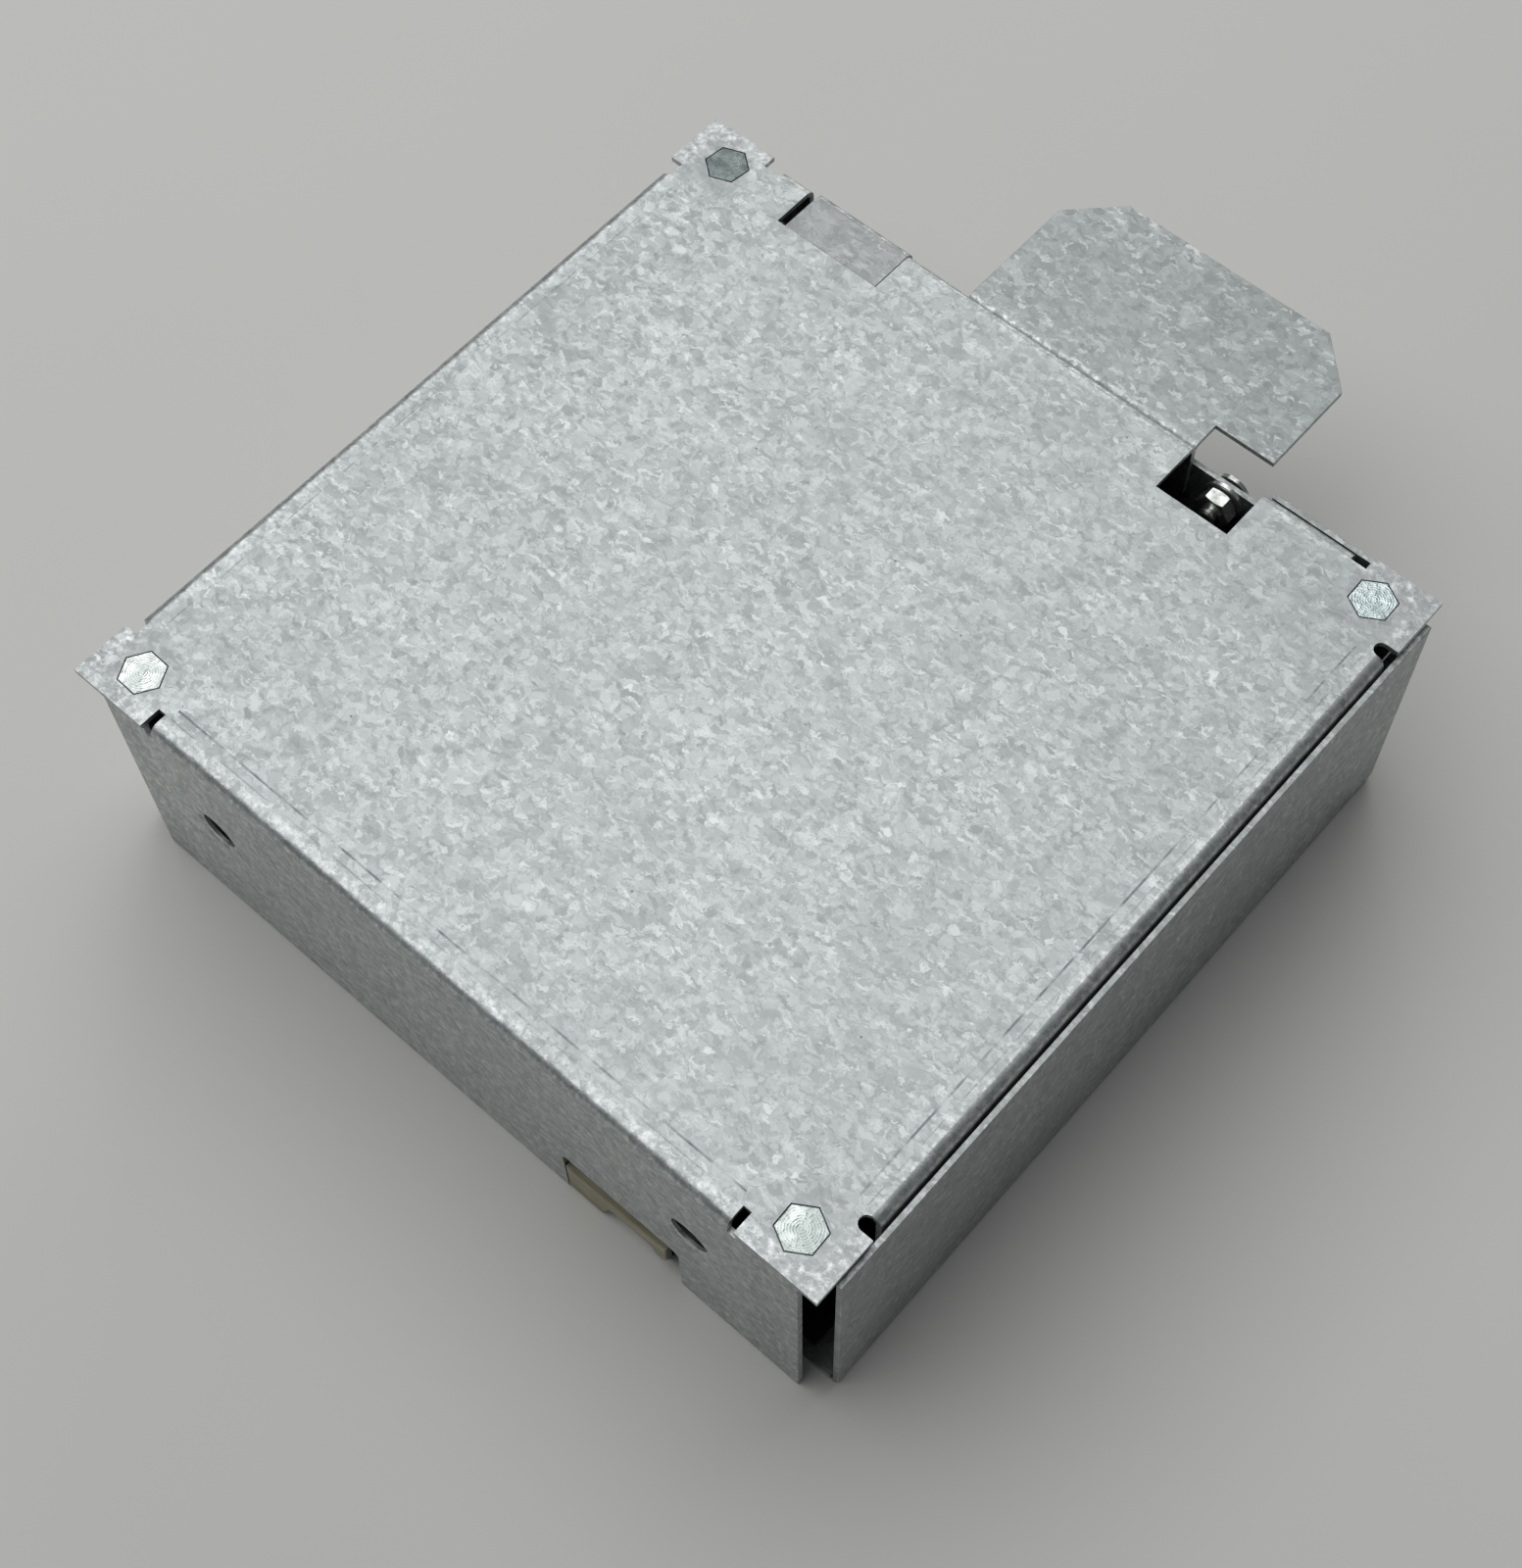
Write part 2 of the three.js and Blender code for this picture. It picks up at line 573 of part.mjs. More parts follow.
poleX.forEach((x, pole) => {
  const y = [terminal.y - terminal.depth / 2 + 1.5, terminal.y + terminal.depth / 2 - 1.5];
  const wireHoles = [[y[0] - 1, y[0] + 8], [y[1] - 8, y[1] + 1]];
  const bar = cut(
    box([x - terminal.slotWidth / 2 + gap, x + terminal.slotWidth / 2 - gap], y, barZ),
    ...wireHoles.map((range) => hole(2.3, range, x, (barZ[0] + barZ[1]) / 2, 12)),
    ...clampY.map((cy) => rod(1.8, [barZ[0] - 1, (barZ[0] + barZ[1]) / 2], x, cy, 10)),
  );
  place(`terminal_bar_${pole + 1}`, bar, brass);
  clampY.forEach((cy, i) => {
    const headTop = barZ[0] - 1.2;
    const screw = turned([
      [0, headTop - 2.8], [2.3, headTop - 2.8], [2.6, headTop - 2.4], [2.6, headTop], [1.5, headTop],
      [1.5, barZ[0] + 1.2], [0, barZ[0] + 1.2],
    ], x, cy, 12);
    const slot = box([x - 3, x + 3], [cy - 0.4, cy + 0.4], [headTop - 4, headTop - 1.6]);
    place(`clamp_screw_${pole + 1}_${i ? "back" : "front"}`, screw.subtract(slot), steelScrew);
  });
});

fixingX.forEach((x, i) => {
  const side = i ? "right" : "left";
  const seat = blockTop - terminal.earTall - 0.1;
  const nutZ = boardUnder + board.thickness + 0.1;
  const screw = turned([
    [0, seat - 2.2], [1.8, seat - 2.2], [2.9, seat - 1.4], [3, seat],
    [1.5, seat], [1.5, nutZ + 3.4], [0, nutZ + 3.4],
  ], x, terminal.y, 16);
  place(`block_screw_${side}`, driven(screw, x, terminal.y, [seat - 4, seat - 1.2]), steelScrew);
  const nut = plateOf(hexagon(5.5, 0, x, terminal.y), [nutZ, nutZ + 2.4])
    .subtract(rod(1.8, [nutZ - 1, nutZ + 4], x, terminal.y, 12));
  place(`block_nut_${side}`, nut, steelScrew);
});

export default group;
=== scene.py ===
import math

import bmesh
import bpy
from bpy.props import FloatProperty, FloatVectorProperty, PointerProperty
from mathutils import Matrix, Vector


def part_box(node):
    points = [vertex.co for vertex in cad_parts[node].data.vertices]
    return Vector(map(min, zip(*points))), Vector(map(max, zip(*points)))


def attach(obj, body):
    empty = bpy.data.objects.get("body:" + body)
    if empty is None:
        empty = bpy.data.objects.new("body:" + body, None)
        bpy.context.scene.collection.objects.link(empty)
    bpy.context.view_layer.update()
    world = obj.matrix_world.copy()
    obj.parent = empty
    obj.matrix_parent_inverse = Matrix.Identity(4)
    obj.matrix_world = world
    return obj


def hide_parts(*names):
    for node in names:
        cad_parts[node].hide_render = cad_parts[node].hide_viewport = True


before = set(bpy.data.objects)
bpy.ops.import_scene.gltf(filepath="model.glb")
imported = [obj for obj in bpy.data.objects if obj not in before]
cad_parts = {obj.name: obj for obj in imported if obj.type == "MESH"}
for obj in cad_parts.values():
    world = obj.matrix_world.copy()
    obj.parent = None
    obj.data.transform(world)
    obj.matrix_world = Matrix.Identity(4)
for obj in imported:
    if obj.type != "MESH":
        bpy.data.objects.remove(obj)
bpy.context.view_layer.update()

bl_info = {
    "name": "Junction Box",
    "version": (1, 0, 0),
    "blender": (4, 5, 0),
    "location": "3D View > Sidebar > Junction Box",
    "description": "Finishes a folded sheet-metal junction box around its fixed frame",
    "category": "Object",
}

MM = 0.001
CORNERS = ("front_left", "front_right", "back_left", "back_right")
SIDES = ("left", "right")
POLES = range(1, 6)
UP = (0.0, 0.0, 0.0)
DOWN = (math.pi, 0.0, 0.0)
TO_FRONT = (math.pi / 2, 0.0, 0.0)
TO_BACK = (-math.pi / 2, 0.0, 0.0)


# ---- small helpers ----
def linear(colour):
    """Turns an sRGB hex colour into linear red, green, blue and alpha."""
    channels = [int(colour[i:i + 2], 16) / 255 for i in (0, 2, 4)]
    return tuple(c / 12.92 if c <= 0.04045 else ((c + 0.055) / 1.055) ** 2.4 for c in channels) + (1.0,)


def add(tree, kind, wired=None, **settings):
    """Adds a node with its settings, and links or sets the inputs that are given by name or number."""
    new = tree.nodes.new(kind)
    for name, value in settings.items():
        setattr(new, name, value)
    for socket, value in (wired or {}).items():
        target = new.inputs[socket]
        if isinstance(value, bpy.types.NodeSocket):
            tree.links.new(value, target)
        else:
            target.default_value = value
    return new


def new_object(name, mesh):
    piece = bpy.data.objects.new(name, mesh)
    bpy.context.scene.collection.objects.link(piece)
    return piece


def paint(piece, *looks):
    piece.data.materials.clear()
    for look in looks:
        piece.data.materials.append(look)


def look_of(name, **shader):
    """A new material, its node tree and its shader with these uniform values."""
    look = bpy.data.materials.new(name)
    look.use_nodes = True
    tree = look.node_tree
    surface = tree.nodes["Principled BSDF"]
    for socket, value in shader.items():
        surface.inputs[socket.replace("_", " ")].default_value = value
    return look, tree, surface


def hand_over(piece, body, slot, *nodes):
    """Puts a finished piece in the place of its CAD nodes."""
    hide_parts(*nodes)
    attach(piece, body)


# ---- materials: the metals ----
def galvanised_steel(name, settings, dark, light, die_and_shadow_lines=(), rub_and_highlight_bands=(), ears=()):
    """Hot-dip galvanised steel sheet, temper rolled and folded."""
    # The zinc froze in leafy crystals a few millimetres long. Each leans its own way, so that neighbours flash
    # light and dull, with a hairline between them. Folding tools burnish the bends bright and leave thin lines;
    # the bends' brightness is partly painted highlight, and one line on the body is a painted contact shadow.
    look, tree, surface = look_of(name, Metallic=settings.metallic)
    place = add(tree, "ShaderNodeTexCoord")
    mm = add(tree, "ShaderNodeVectorMath", {0: place.outputs["Object"], "Scale": 1000.0},
             operation="SCALE").outputs[0]
    grain = settings.grain * 1000
    drift = add(tree, "ShaderNodeTexNoise", {"Vector": mm, "Scale": 0.55 / grain, "Detail": 3.0, "Roughness": 0.62})
    drift = add(tree, "ShaderNodeVectorMath", {0: drift.outputs["Color"], 1: (0.5,) * 3}, operation="SUBTRACT")
    fray = add(tree, "ShaderNodeTexNoise", {"Vector": mm, "Scale": 3.0 / grain, "Detail": 2.0, "Roughness": 0.7})
    fray = add(tree, "ShaderNodeVectorMath", {0: fray.outputs["Color"], 1: (0.5,) * 3}, operation="SUBTRACT")
    bent = add(tree, "ShaderNodeVectorMath", {0: drift.outputs[0], 1: (2.4 * grain,) * 3, 2: mm},
               operation="MULTIPLY_ADD")
    leafy = add(tree, "ShaderNodeVectorMath", {0: fray.outputs[0], 1: (0.26 * grain,) * 3, 2: bent.outputs[0]},
                operation="MULTIPLY_ADD").outputs[0]
    crystal = add(tree, "ShaderNodeTexVoronoi", {"Vector": leafy, "Scale": 1.0 / grain}, distance="MANHATTAN")
    second = add(tree, "ShaderNodeTexVoronoi", {"Vector": leafy, "Scale": 1.0 / grain}, distance="MANHATTAN",
                 feature="F2")
    shard = add(tree, "ShaderNodeMapping", {"Vector": leafy, "Rotation": (0.0, 0.0, 0.6), "Scale": (0.55, 1.5, 1.0)})
    sliver = add(tree, "ShaderNodeTexVoronoi", {"Vector": shard.outputs[0], "Scale": 1.9 / grain},
                 distance="CHEBYCHEV")
    seam = add(tree, "ShaderNodeMath", {0: second.outputs["Distance"], 1: crystal.outputs["Distance"]},
               operation="SUBTRACT").outputs[0]
    seam = add(tree, "ShaderNodeMapRange", {"Value": seam, "From Min": 0.0, "From Max": 0.09, "To Min": 0.55,
                                            "To Max": 0.0}).outputs[0]
    big = add(tree, "ShaderNodeSeparateColor", {0: crystal.outputs["Color"]})
    small = add(tree, "ShaderNodeSeparateColor", {0: sliver.outputs["Color"]})
    tone = add(tree, "ShaderNodeMath", {0: small.outputs[0], 1: 0.6, 2: big.outputs[0]}, operation="MULTIPLY_ADD")
    tone = add(tree, "ShaderNodeMapRange", {"Value": tone.outputs[0], "From Min": 0.15, "From Max": 1.45})
    colour = add(tree, "ShaderNodeMix", {"Factor": tone.outputs[0], 6: linear(dark), 7: linear(light)},
                 data_type="RGBA").outputs[2]
    glint = add(tree, "ShaderNodeMapRange", {"Value": small.outputs[2], "From Min": 0.86, "From Max": 0.94,
                                             "To Max": 0.55}).outputs[0]
    colour = add(tree, "ShaderNodeMix", {"Factor": glint, 6: colour, 7: linear("D8DBDC")},
                 data_type="RGBA").outputs[2]
    colour = add(tree, "ShaderNodeMix", {"Factor": seam, 6: colour, 7: linear("92989A")}, data_type="RGBA").outputs[2]
    cloud = add(tree, "ShaderNodeTexNoise", {"Vector": mm, "Scale": 0.03, "Detail": 3.0}).outputs[0]
    cloud = add(tree, "ShaderNodeMapRange", {"Value": cloud, "From Min": 0.35, "From Max": 0.7, "To Max": 0.28})
    colour = add(tree, "ShaderNodeMix", {"Factor": cloud.outputs[0], 6: colour, 7: linear(dark)},
                 data_type="RGBA").outputs[2]

    # dark specks of dross and dust, about one to each 10 mm
    speck = add(tree, "ShaderNodeTexVoronoi", {"Vector": mm, "Scale": 0.1}).outputs["Distance"]
    speck = add(tree, "ShaderNodeMapRange", {"Value": speck, "From Min": 0.012, "From Max": 0.034, "To Min": 0.85,
                                             "To Max": 0.0}).outputs[0]
    colour = add(tree, "ShaderNodeMix", {"Factor": speck, 6: colour, 7: linear("5C6062")},
                 data_type="RGBA").outputs[2]
    # short handling scratches
    slant = add(tree, "ShaderNodeMapping", {"Vector": mm, "Rotation": (0.2, 0.1, 0.7), "Scale": (0.035, 1.1, 0.5)})
    scratch = add(tree, "ShaderNodeTexNoise", {"Vector": slant.outputs[0], "Scale": 1.0, "Detail": 1.0}).outputs[0]
    scratch = add(tree, "ShaderNodeMath", {0: scratch, 1: 0.66, 2: 0.003}, operation="COMPARE").outputs[0]
    scratch = add(tree, "ShaderNodeMath", {0: scratch, 1: 0.3}, operation="MULTIPLY").outputs[0]
    colour = add(tree, "ShaderNodeMix", {"Factor": scratch, 6: colour, 7: linear("E2E6E7")},
                 data_type="RGBA").outputs[2]
    # lines pressed by the folding tool, and painted contact shadow lines: axis across, place, half width, start and
    # end, strength
    across = add(tree, "ShaderNodeSeparateXYZ", {0: mm})
    worn = add(tree, "ShaderNodeTexNoise", {"Vector": mm, "Scale": 0.2, "Detail": 3.0}).outputs[0]
    worn = add(tree, "ShaderNodeMapRange", {"Value": worn, "From Min": 0.42, "From Max": 0.6, "To Min": 0.15})
    for axis, at, half, low, high, strength in die_and_shadow_lines:
        line = add(tree, "ShaderNodeMath", {0: across.outputs[axis], 1: at, 2: half}, operation="COMPARE").outputs[0]
        inside = add(tree, "ShaderNodeMath", {0: across.outputs[1 - axis], 1: (low + high) / 2, 2: (high - low) / 2},
                     operation="COMPARE").outputs[0]
        line = add(tree, "ShaderNodeMath", {0: line, 1: inside}, operation="MULTIPLY").outputs[0]
        line = add(tree, "ShaderNodeMath", {0: line, 1: worn.outputs[0]}, operation="MULTIPLY").outputs[0]
        line = add(tree, "ShaderNodeMath", {0: line, 1: strength}, operation="MULTIPLY").outputs[0]
        colour = add(tree, "ShaderNodeMix", {"Factor": line, 6: colour, 7: linear("6F7577")},
                     data_type="RGBA").outputs[2]
    # ears were gripped while the walls were folded: greyer, with a faint warm cast and a ragged border. The hook
    # tab's patch is painted shade instead, greyer where it lies low under the lid's notch
    ragged = add(tree, "ShaderNodeMath", {0: worn.outputs[0], 1: 2.4}, operation="MULTIPLY").outputs[0]
    for x, y, half_x, half_y, strength in ears:
        beside = add(tree, "ShaderNodeMath", {0: ragged, 1: half_x}, operation="ADD").outputs[0]
        beside = add(tree, "ShaderNodeMath", {0: across.outputs[0], 1: x, 2: beside}, operation="COMPARE").outputs[0]
        ahead = add(tree, "ShaderNodeMath", {0: ragged, 1: half_y}, operation="ADD").outputs[0]
        ahead = add(tree, "ShaderNodeMath", {0: across.outputs[1], 1: y, 2: ahead}, operation="COMPARE").outputs[0]
        clamp_mark_and_shade = add(tree, "ShaderNodeMath", {0: beside, 1: ahead}, operation="MULTIPLY").outputs[0]
        clamp_mark_and_shade = add(tree, "ShaderNodeMath", {0: clamp_mark_and_shade, 1: strength}, operation="MULTIPLY").outputs[0]
        colour = add(tree, "ShaderNodeMix", {"Factor": clamp_mark_and_shade, 6: colour, 7: linear("949497")},
                     data_type="RGBA").outputs[2]
    # the outside of each bend is stretched and rubbed, with bright grains and streaks along it; its brightness is
    # partly a painted highlight where the rounded fold catches the light
    lean = add(tree, "ShaderNodeVectorMath", {0: place.outputs["Normal"]}, operation="ABSOLUTE")
    lean = add(tree, "ShaderNodeSeparateXYZ", {0: lean.outputs[0]})
    most = add(tree, "ShaderNodeMath", {0: lean.outputs[0], 1: lean.outputs[1]}, operation="MAXIMUM").outputs[0]
    most = add(tree, "ShaderNodeMath", {0: most, 1: lean.outputs[2]}, operation="MAXIMUM").outputs[0]
    bend = add(tree, "ShaderNodeMapRange", {"Value": most, "From Min": 0.9, "From Max": 0.985, "To Min": 1.0,
                                            "To Max": 0.0}).outputs[0]
    grit = add(tree, "ShaderNodeTexNoise", {"Vector": mm, "Scale": 0.62, "Detail": 5.0, "Roughness": 0.72}).outputs[0]
    grit = add(tree, "ShaderNodeMapRange", {"Value": grit, "From Min": 0.47, "From Max": 0.66}).outputs[0]
    # the tool's jaw also scuffs a band a few millimetres wide beside the bend, painted bright too, partly as painted
    # highlight along the fold
    for axis, at, half in rub_and_highlight_bands:
        near = add(tree, "ShaderNodeMath", {0: across.outputs[axis], 1: at}, operation="SUBTRACT").outputs[0]
        near = add(tree, "ShaderNodeMath", {0: near}, operation="ABSOLUTE").outputs[0]
        near = add(tree, "ShaderNodeMapRange", {"Value": near, "From Min": half * 0.3, "From Max": half,
                                                "To Min": 0.75, "To Max": 0.0}).outputs[0]
        bend = add(tree, "ShaderNodeMath", {0: bend, 1: near}, operation="MAXIMUM").outputs[0]
    rub_and_highlight = add(tree, "ShaderNodeMath", {0: bend, 1: grit}, operation="MULTIPLY").outputs[0]
    colour = add(tree, "ShaderNodeMix", {"Factor": rub_and_highlight, 6: colour, 7: linear("E2E4E4")}, data_type="RGBA").outputs[2]
    tree.links.new(colour, surface.inputs["Base Color"])

    rough = add(tree, "ShaderNodeMapRange", {"Value": small.outputs[1], "To Min": settings.roughness - 0.05,
                                             "To Max": settings.roughness + 0.08}).outputs[0]
    rough = add(tree, "ShaderNodeMath", {0: rub_and_highlight, 1: -0.14, 2: rough}, operation="MULTIPLY_ADD").outputs[0]
    tree.links.new(rough, surface.inputs["Roughness"])
    tilt = add(tree, "ShaderNodeVectorMath", {0: crystal.outputs["Color"], 1: (0.5,) * 3}, operation="SUBTRACT")
    tilt_small = add(tree, "ShaderNodeVectorMath", {0: sliver.outputs["Color"], 1: (0.5,) * 3}, operation="SUBTRACT")
    both = add(tree, "ShaderNodeVectorMath", {0: tilt_small.outputs[0], 1: (0.7,) * 3, 2: tilt.outputs[0]},
               operation="MULTIPLY_ADD").outputs[0]
    flat = add(tree, "ShaderNodeNewGeometry").outputs["Normal"]
    tilted = add(tree, "ShaderNodeVectorMath", {0: both, 1: (settings.tilt,) * 3, 2: flat}, operation="MULTIPLY_ADD")
    tilted = add(tree, "ShaderNodeVectorMath", {0: tilted.outputs[0]}, operation="NORMALIZE").outputs[0]
    # a slow waviness of the sheet over about 20 mm, and the rolled grain of its surface
    wave = add(tree, "ShaderNodeTexNoise", {"Vector": mm, "Scale": 0.05, "Detail": 2.0}).outputs[0]
    peel = add(tree, "ShaderNodeTexNoise", {"Vector": mm, "Scale": 1.4, "Detail": 3.0}).outputs[0]
    height = add(tree, "ShaderNodeMath", {0: peel, 1: 0.03, 2: wave}, operation="MULTIPLY_ADD").outputs[0]
    height = add(tree, "ShaderNodeMath", {0: seam, 1: -0.004, 2: height}, operation="MULTIPLY_ADD").outputs[0]
    bump = add(tree, "ShaderNodeBump", {"Height": height, "Strength": 0.5, "Distance": 0.0004, "Normal": tilted})
    tree.links.new(bump.outputs[0], surface.inputs["Normal"])
    return look


def sheared_steel(name, dark, light):
    """The cut edge of the galvanised sheet, punched or sheared and left bare."""
    # Half the thickness is burnished by the blade and half is torn, dull and grey brown, with zinc dragged over it.
    look, tree, surface = look_of(name, Metallic=0.75)
    place = add(tree, "ShaderNodeTexCoord").outputs["Object"]
    mm = add(tree, "ShaderNodeVectorMath", {0: place, "Scale": 1000.0}, operation="SCALE").outputs[0]
    smear = add(tree, "ShaderNodeTexNoise", {"Vector": mm, "Scale": 0.9, "Detail": 4.0, "Roughness": 0.7}).outputs[0]
    bright = add(tree, "ShaderNodeMapRange", {"Value": smear, "From Min": 0.5, "From Max": 0.64}).outputs[0]
    # the dark colour given is deeper than torn steel alone: partly painted shade, the shadow along the narrow cut
    # edge
    colour = add(tree, "ShaderNodeMix", {"Factor": bright, 6: linear(dark), 7: linear(light)}, data_type="RGBA")
    tree.links.new(colour.outputs[2], surface.inputs["Base Color"])
    rough = add(tree, "ShaderNodeMapRange", {"Value": bright, "To Min": 0.62, "To Max": 0.4}).outputs[0]
    tree.links.new(rough, surface.inputs["Roughness"])
    tear = add(tree, "ShaderNodeTexNoise", {"Vector": mm, "Scale": 4.0, "Detail": 3.0}).outputs[0]
    bump = add(tree, "ShaderNodeBump", {"Height": tear, "Strength": 0.6, "Distance": 0.00012})
    tree.links.new(bump.outputs[0], surface.inputs["Normal"])
    return look


def turned_zinc(name, dark, light, ring=0.5):
    """Free-cutting steel, turned from hexagon bar and bright zinc plated."""
    # The lathe leaves fine rings on the end faces, drawn here 0.5 mm apart so that they show, under a bluish plate
    # that has gone cloudy. The rings follow each fastener's own axis, kept with its mesh as own_place.
    look, tree, surface = look_of(name, Metallic=0.92)
    own = add(tree, "ShaderNodeAttribute", attribute_name="own_place").outputs["Vector"]
    mm = add(tree, "ShaderNodeVectorMath", {0: own, "Scale": 1000.0}, operation="SCALE").outputs[0]
    flat = add(tree, "ShaderNodeVectorMath", {0: mm, 1: (1.0, 1.0, 0.0)}, operation="MULTIPLY").outputs[0]
    radius = add(tree, "ShaderNodeVectorMath", {0: flat}, operation="LENGTH").outputs["Value"]
    chatter = add(tree, "ShaderNodeTexNoise", {"Vector": mm, "Scale": 0.8, "Detail": 2.0}).outputs[0]
    radius = add(tree, "ShaderNodeMath", {0: chatter, 1: 0.12, 2: radius}, operation="MULTIPLY_ADD").outputs[0]
    ring_wave = add(tree, "ShaderNodeMath", {0: radius, 1: math.tau / ring}, operation="MULTIPLY").outputs[0]
    ring_wave = add(tree, "ShaderNodeMath", {0: ring_wave}, operation="SINE").outputs[0]
    world = add(tree, "ShaderNodeTexCoord").outputs["Object"]
    world = add(tree, "ShaderNodeVectorMath", {0: world, "Scale": 1000.0}, operation="SCALE").outputs[0]
    cloud = add(tree, "ShaderNodeTexNoise", {"Vector": world, "Scale": 0.35, "Detail": 4.0, "Roughness": 0.65})
    cloud = add(tree, "ShaderNodeMapRange", {"Value": cloud.outputs[0], "From Min": 0.38, "From Max": 0.64})
    colour = add(tree, "ShaderNodeMix", {"Factor": cloud.outputs[0], 6: linear(dark), 7: linear(light)},
                 data_type="RGBA").outputs[2]
    groove = add(tree, "ShaderNodeMapRange", {"Value": ring_wave, "From Min": -1.0, "To Min": 0.3, "To Max": 0.0})
    colour = add(tree, "ShaderNodeMix", {"Factor": groove.outputs[0], 6: colour, 7: linear("858B8C")},
                 data_type="RGBA").outputs[2]
    tree.links.new(colour, surface.inputs["Base Color"])
    rough = add(tree, "ShaderNodeMapRange", {"Value": cloud.outputs[0], "To Min": 0.4, "To Max": 0.28}).outputs[0]
    tree.links.new(rough, surface.inputs["Roughness"])
    height = add(tree, "ShaderNodeMath", {0: ring_wave, 1: 0.1, 2: cloud.outputs[0]}, operation="MULTIPLY_ADD")
    bump = add(tree, "ShaderNodeBump", {"Height": height.outputs[0], "Strength": 0.6, "Distance": 0.0002})
    tree.links.new(bump.outputs[0], surface.inputs["Normal"])
    return look


def plated_screw_steel():
    """Cold-headed steel screws, washers and nuts, barrel zinc plated."""
    # Tumbling in the plating barrel leaves small dents and worn high spots on a cool bright plate.
    look, tree, surface = look_of("plated_screw_steel", Metallic=0.95)
    place = add(tree, "ShaderNodeTexCoord").outputs["Object"]
    mm = add(tree, "ShaderNodeVectorMath", {0: place, "Scale": 1000.0}, operation="SCALE").outputs[0]
    dull = add(tree, "ShaderNodeTexNoise", {"Vector": mm, "Scale": 0.6, "Detail": 4.0}).outputs[0]
    dull = add(tree, "ShaderNodeMapRange", {"Value": dull, "From Min": 0.4, "From Max": 0.62}).outputs[0]
    colour = add(tree, "ShaderNodeMix", {"Factor": dull, 6: linear("D9DCDA"), 7: linear("B4B6B1")}, data_type="RGBA")
    tree.links.new(colour.outputs[2], surface.inputs["Base Color"])
    rough = add(tree, "ShaderNodeMapRange", {"Value": dull, "To Min": 0.2, "To Max": 0.36}).outputs[0]
    tree.links.new(rough, surface.inputs["Roughness"])
    dents = add(tree, "ShaderNodeTexVoronoi", {"Vector": mm, "Scale": 1.3, "Smoothness": 0.6},
                feature="SMOOTH_F1").outputs["Distance"]
    bump = add(tree, "ShaderNodeBump", {"Height": dents, "Strength": 0.15, "Distance": 0.00008})
    tree.links.new(bump.outputs[0], surface.inputs["Normal"])
    return look


def milled_brass():
    """Free-cutting brass bar, extruded, sawn and left as milled."""
    # Fine lines run along the extrusion, and handling has browned the metal unevenly.
    look, tree, surface = look_of("milled_brass", Metallic=0.95)
    place = add(tree, "ShaderNodeTexCoord").outputs["Object"]
    mm = add(tree, "ShaderNodeVectorMath", {0: place, "Scale": 1000.0}, operation="SCALE").outputs[0]
    tarnish = add(tree, "ShaderNodeTexNoise", {"Vector": mm, "Scale": 0.22, "Detail": 4.0}).outputs[0]
    tarnish = add(tree, "ShaderNodeMapRange", {"Value": tarnish, "From Min": 0.38, "From Max": 0.65}).outputs[0]
    colour = add(tree, "ShaderNodeMix", {"Factor": tarnish, 6: linear("D3B36B"), 7: linear("9C7A3C")},
                 data_type="RGBA")
    tree.links.new(colour.outputs[2], surface.inputs["Base Color"])
    rough = add(tree, "ShaderNodeMapRange", {"Value": tarnish, "To Min": 0.26, "To Max": 0.44}).outputs[0]
    tree.links.new(rough, surface.inputs["Roughness"])
    along = add(tree, "ShaderNodeMapping", {"Vector": mm, "Scale": (6.0, 0.12, 6.0)}).outputs[0]
    lines = add(tree, "ShaderNodeTexNoise", {"Vector": along, "Scale": 1.0, "Detail": 2.0}).outputs[0]
    bump = add(tree, "ShaderNodeBump", {"Height": lines, "Strength": 0.4, "Distance": 0.00006})
    tree.links.new(bump.outputs[0], surface.inputs["Normal"])
    return look


# ---- materials: the plastics ----
def moulded_nylon(name, dark, light, veil):
    """Unfilled nylon, injection moulded or extruded, its natural colour aged."""
    # Light sinks a little way in. The skin is satin, with faint flow lines and dust in the corners.
    look, tree, surface = look_of(name, Subsurface_Weight=veil, Subsurface_Scale=0.0012)
    surface.inputs["Subsurface Radius"].default_value = (1.0, 0.8, 0.5)
    place = add(tree, "ShaderNodeTexCoord").outputs["Object"]
    mm = add(tree, "ShaderNodeVectorMath", {0: place, "Scale": 1000.0}, operation="SCALE").outputs[0]
    flow = add(tree, "ShaderNodeMapping", {"Vector": mm, "Scale": (0.08, 0.6, 0.6)}).outputs[0]
    stain = add(tree, "ShaderNodeTexNoise", {"Vector": flow, "Scale": 1.0, "Detail": 4.0, "Roughness": 0.6})
    stain = add(tree, "ShaderNodeMapRange", {"Value": stain.outputs[0], "From Min": 0.36, "From Max": 0.64})
    colour = add(tree, "ShaderNodeMix", {"Factor": stain.outputs[0], 6: linear(dark), 7: linear(light)},
                 data_type="RGBA")
    tree.links.new(colour.outputs[2], surface.inputs["Base Color"])
    rough = add(tree, "ShaderNodeMapRange", {"Value": stain.outputs[0], "To Min": 0.5, "To Max": 0.38}).outputs[0]
    tree.links.new(rough, surface.inputs["Roughness"])
    skin = add(tree, "ShaderNodeTexNoise", {"Vector": mm, "Scale": 2.2, "Detail": 2.0}).outputs[0]
    bump = add(tree, "ShaderNodeBump", {"Height": skin, "Strength": 0.2, "Distance": 0.0001})
    tree.links.new(bump.outputs[0], surface.inputs["Normal"])
    return look


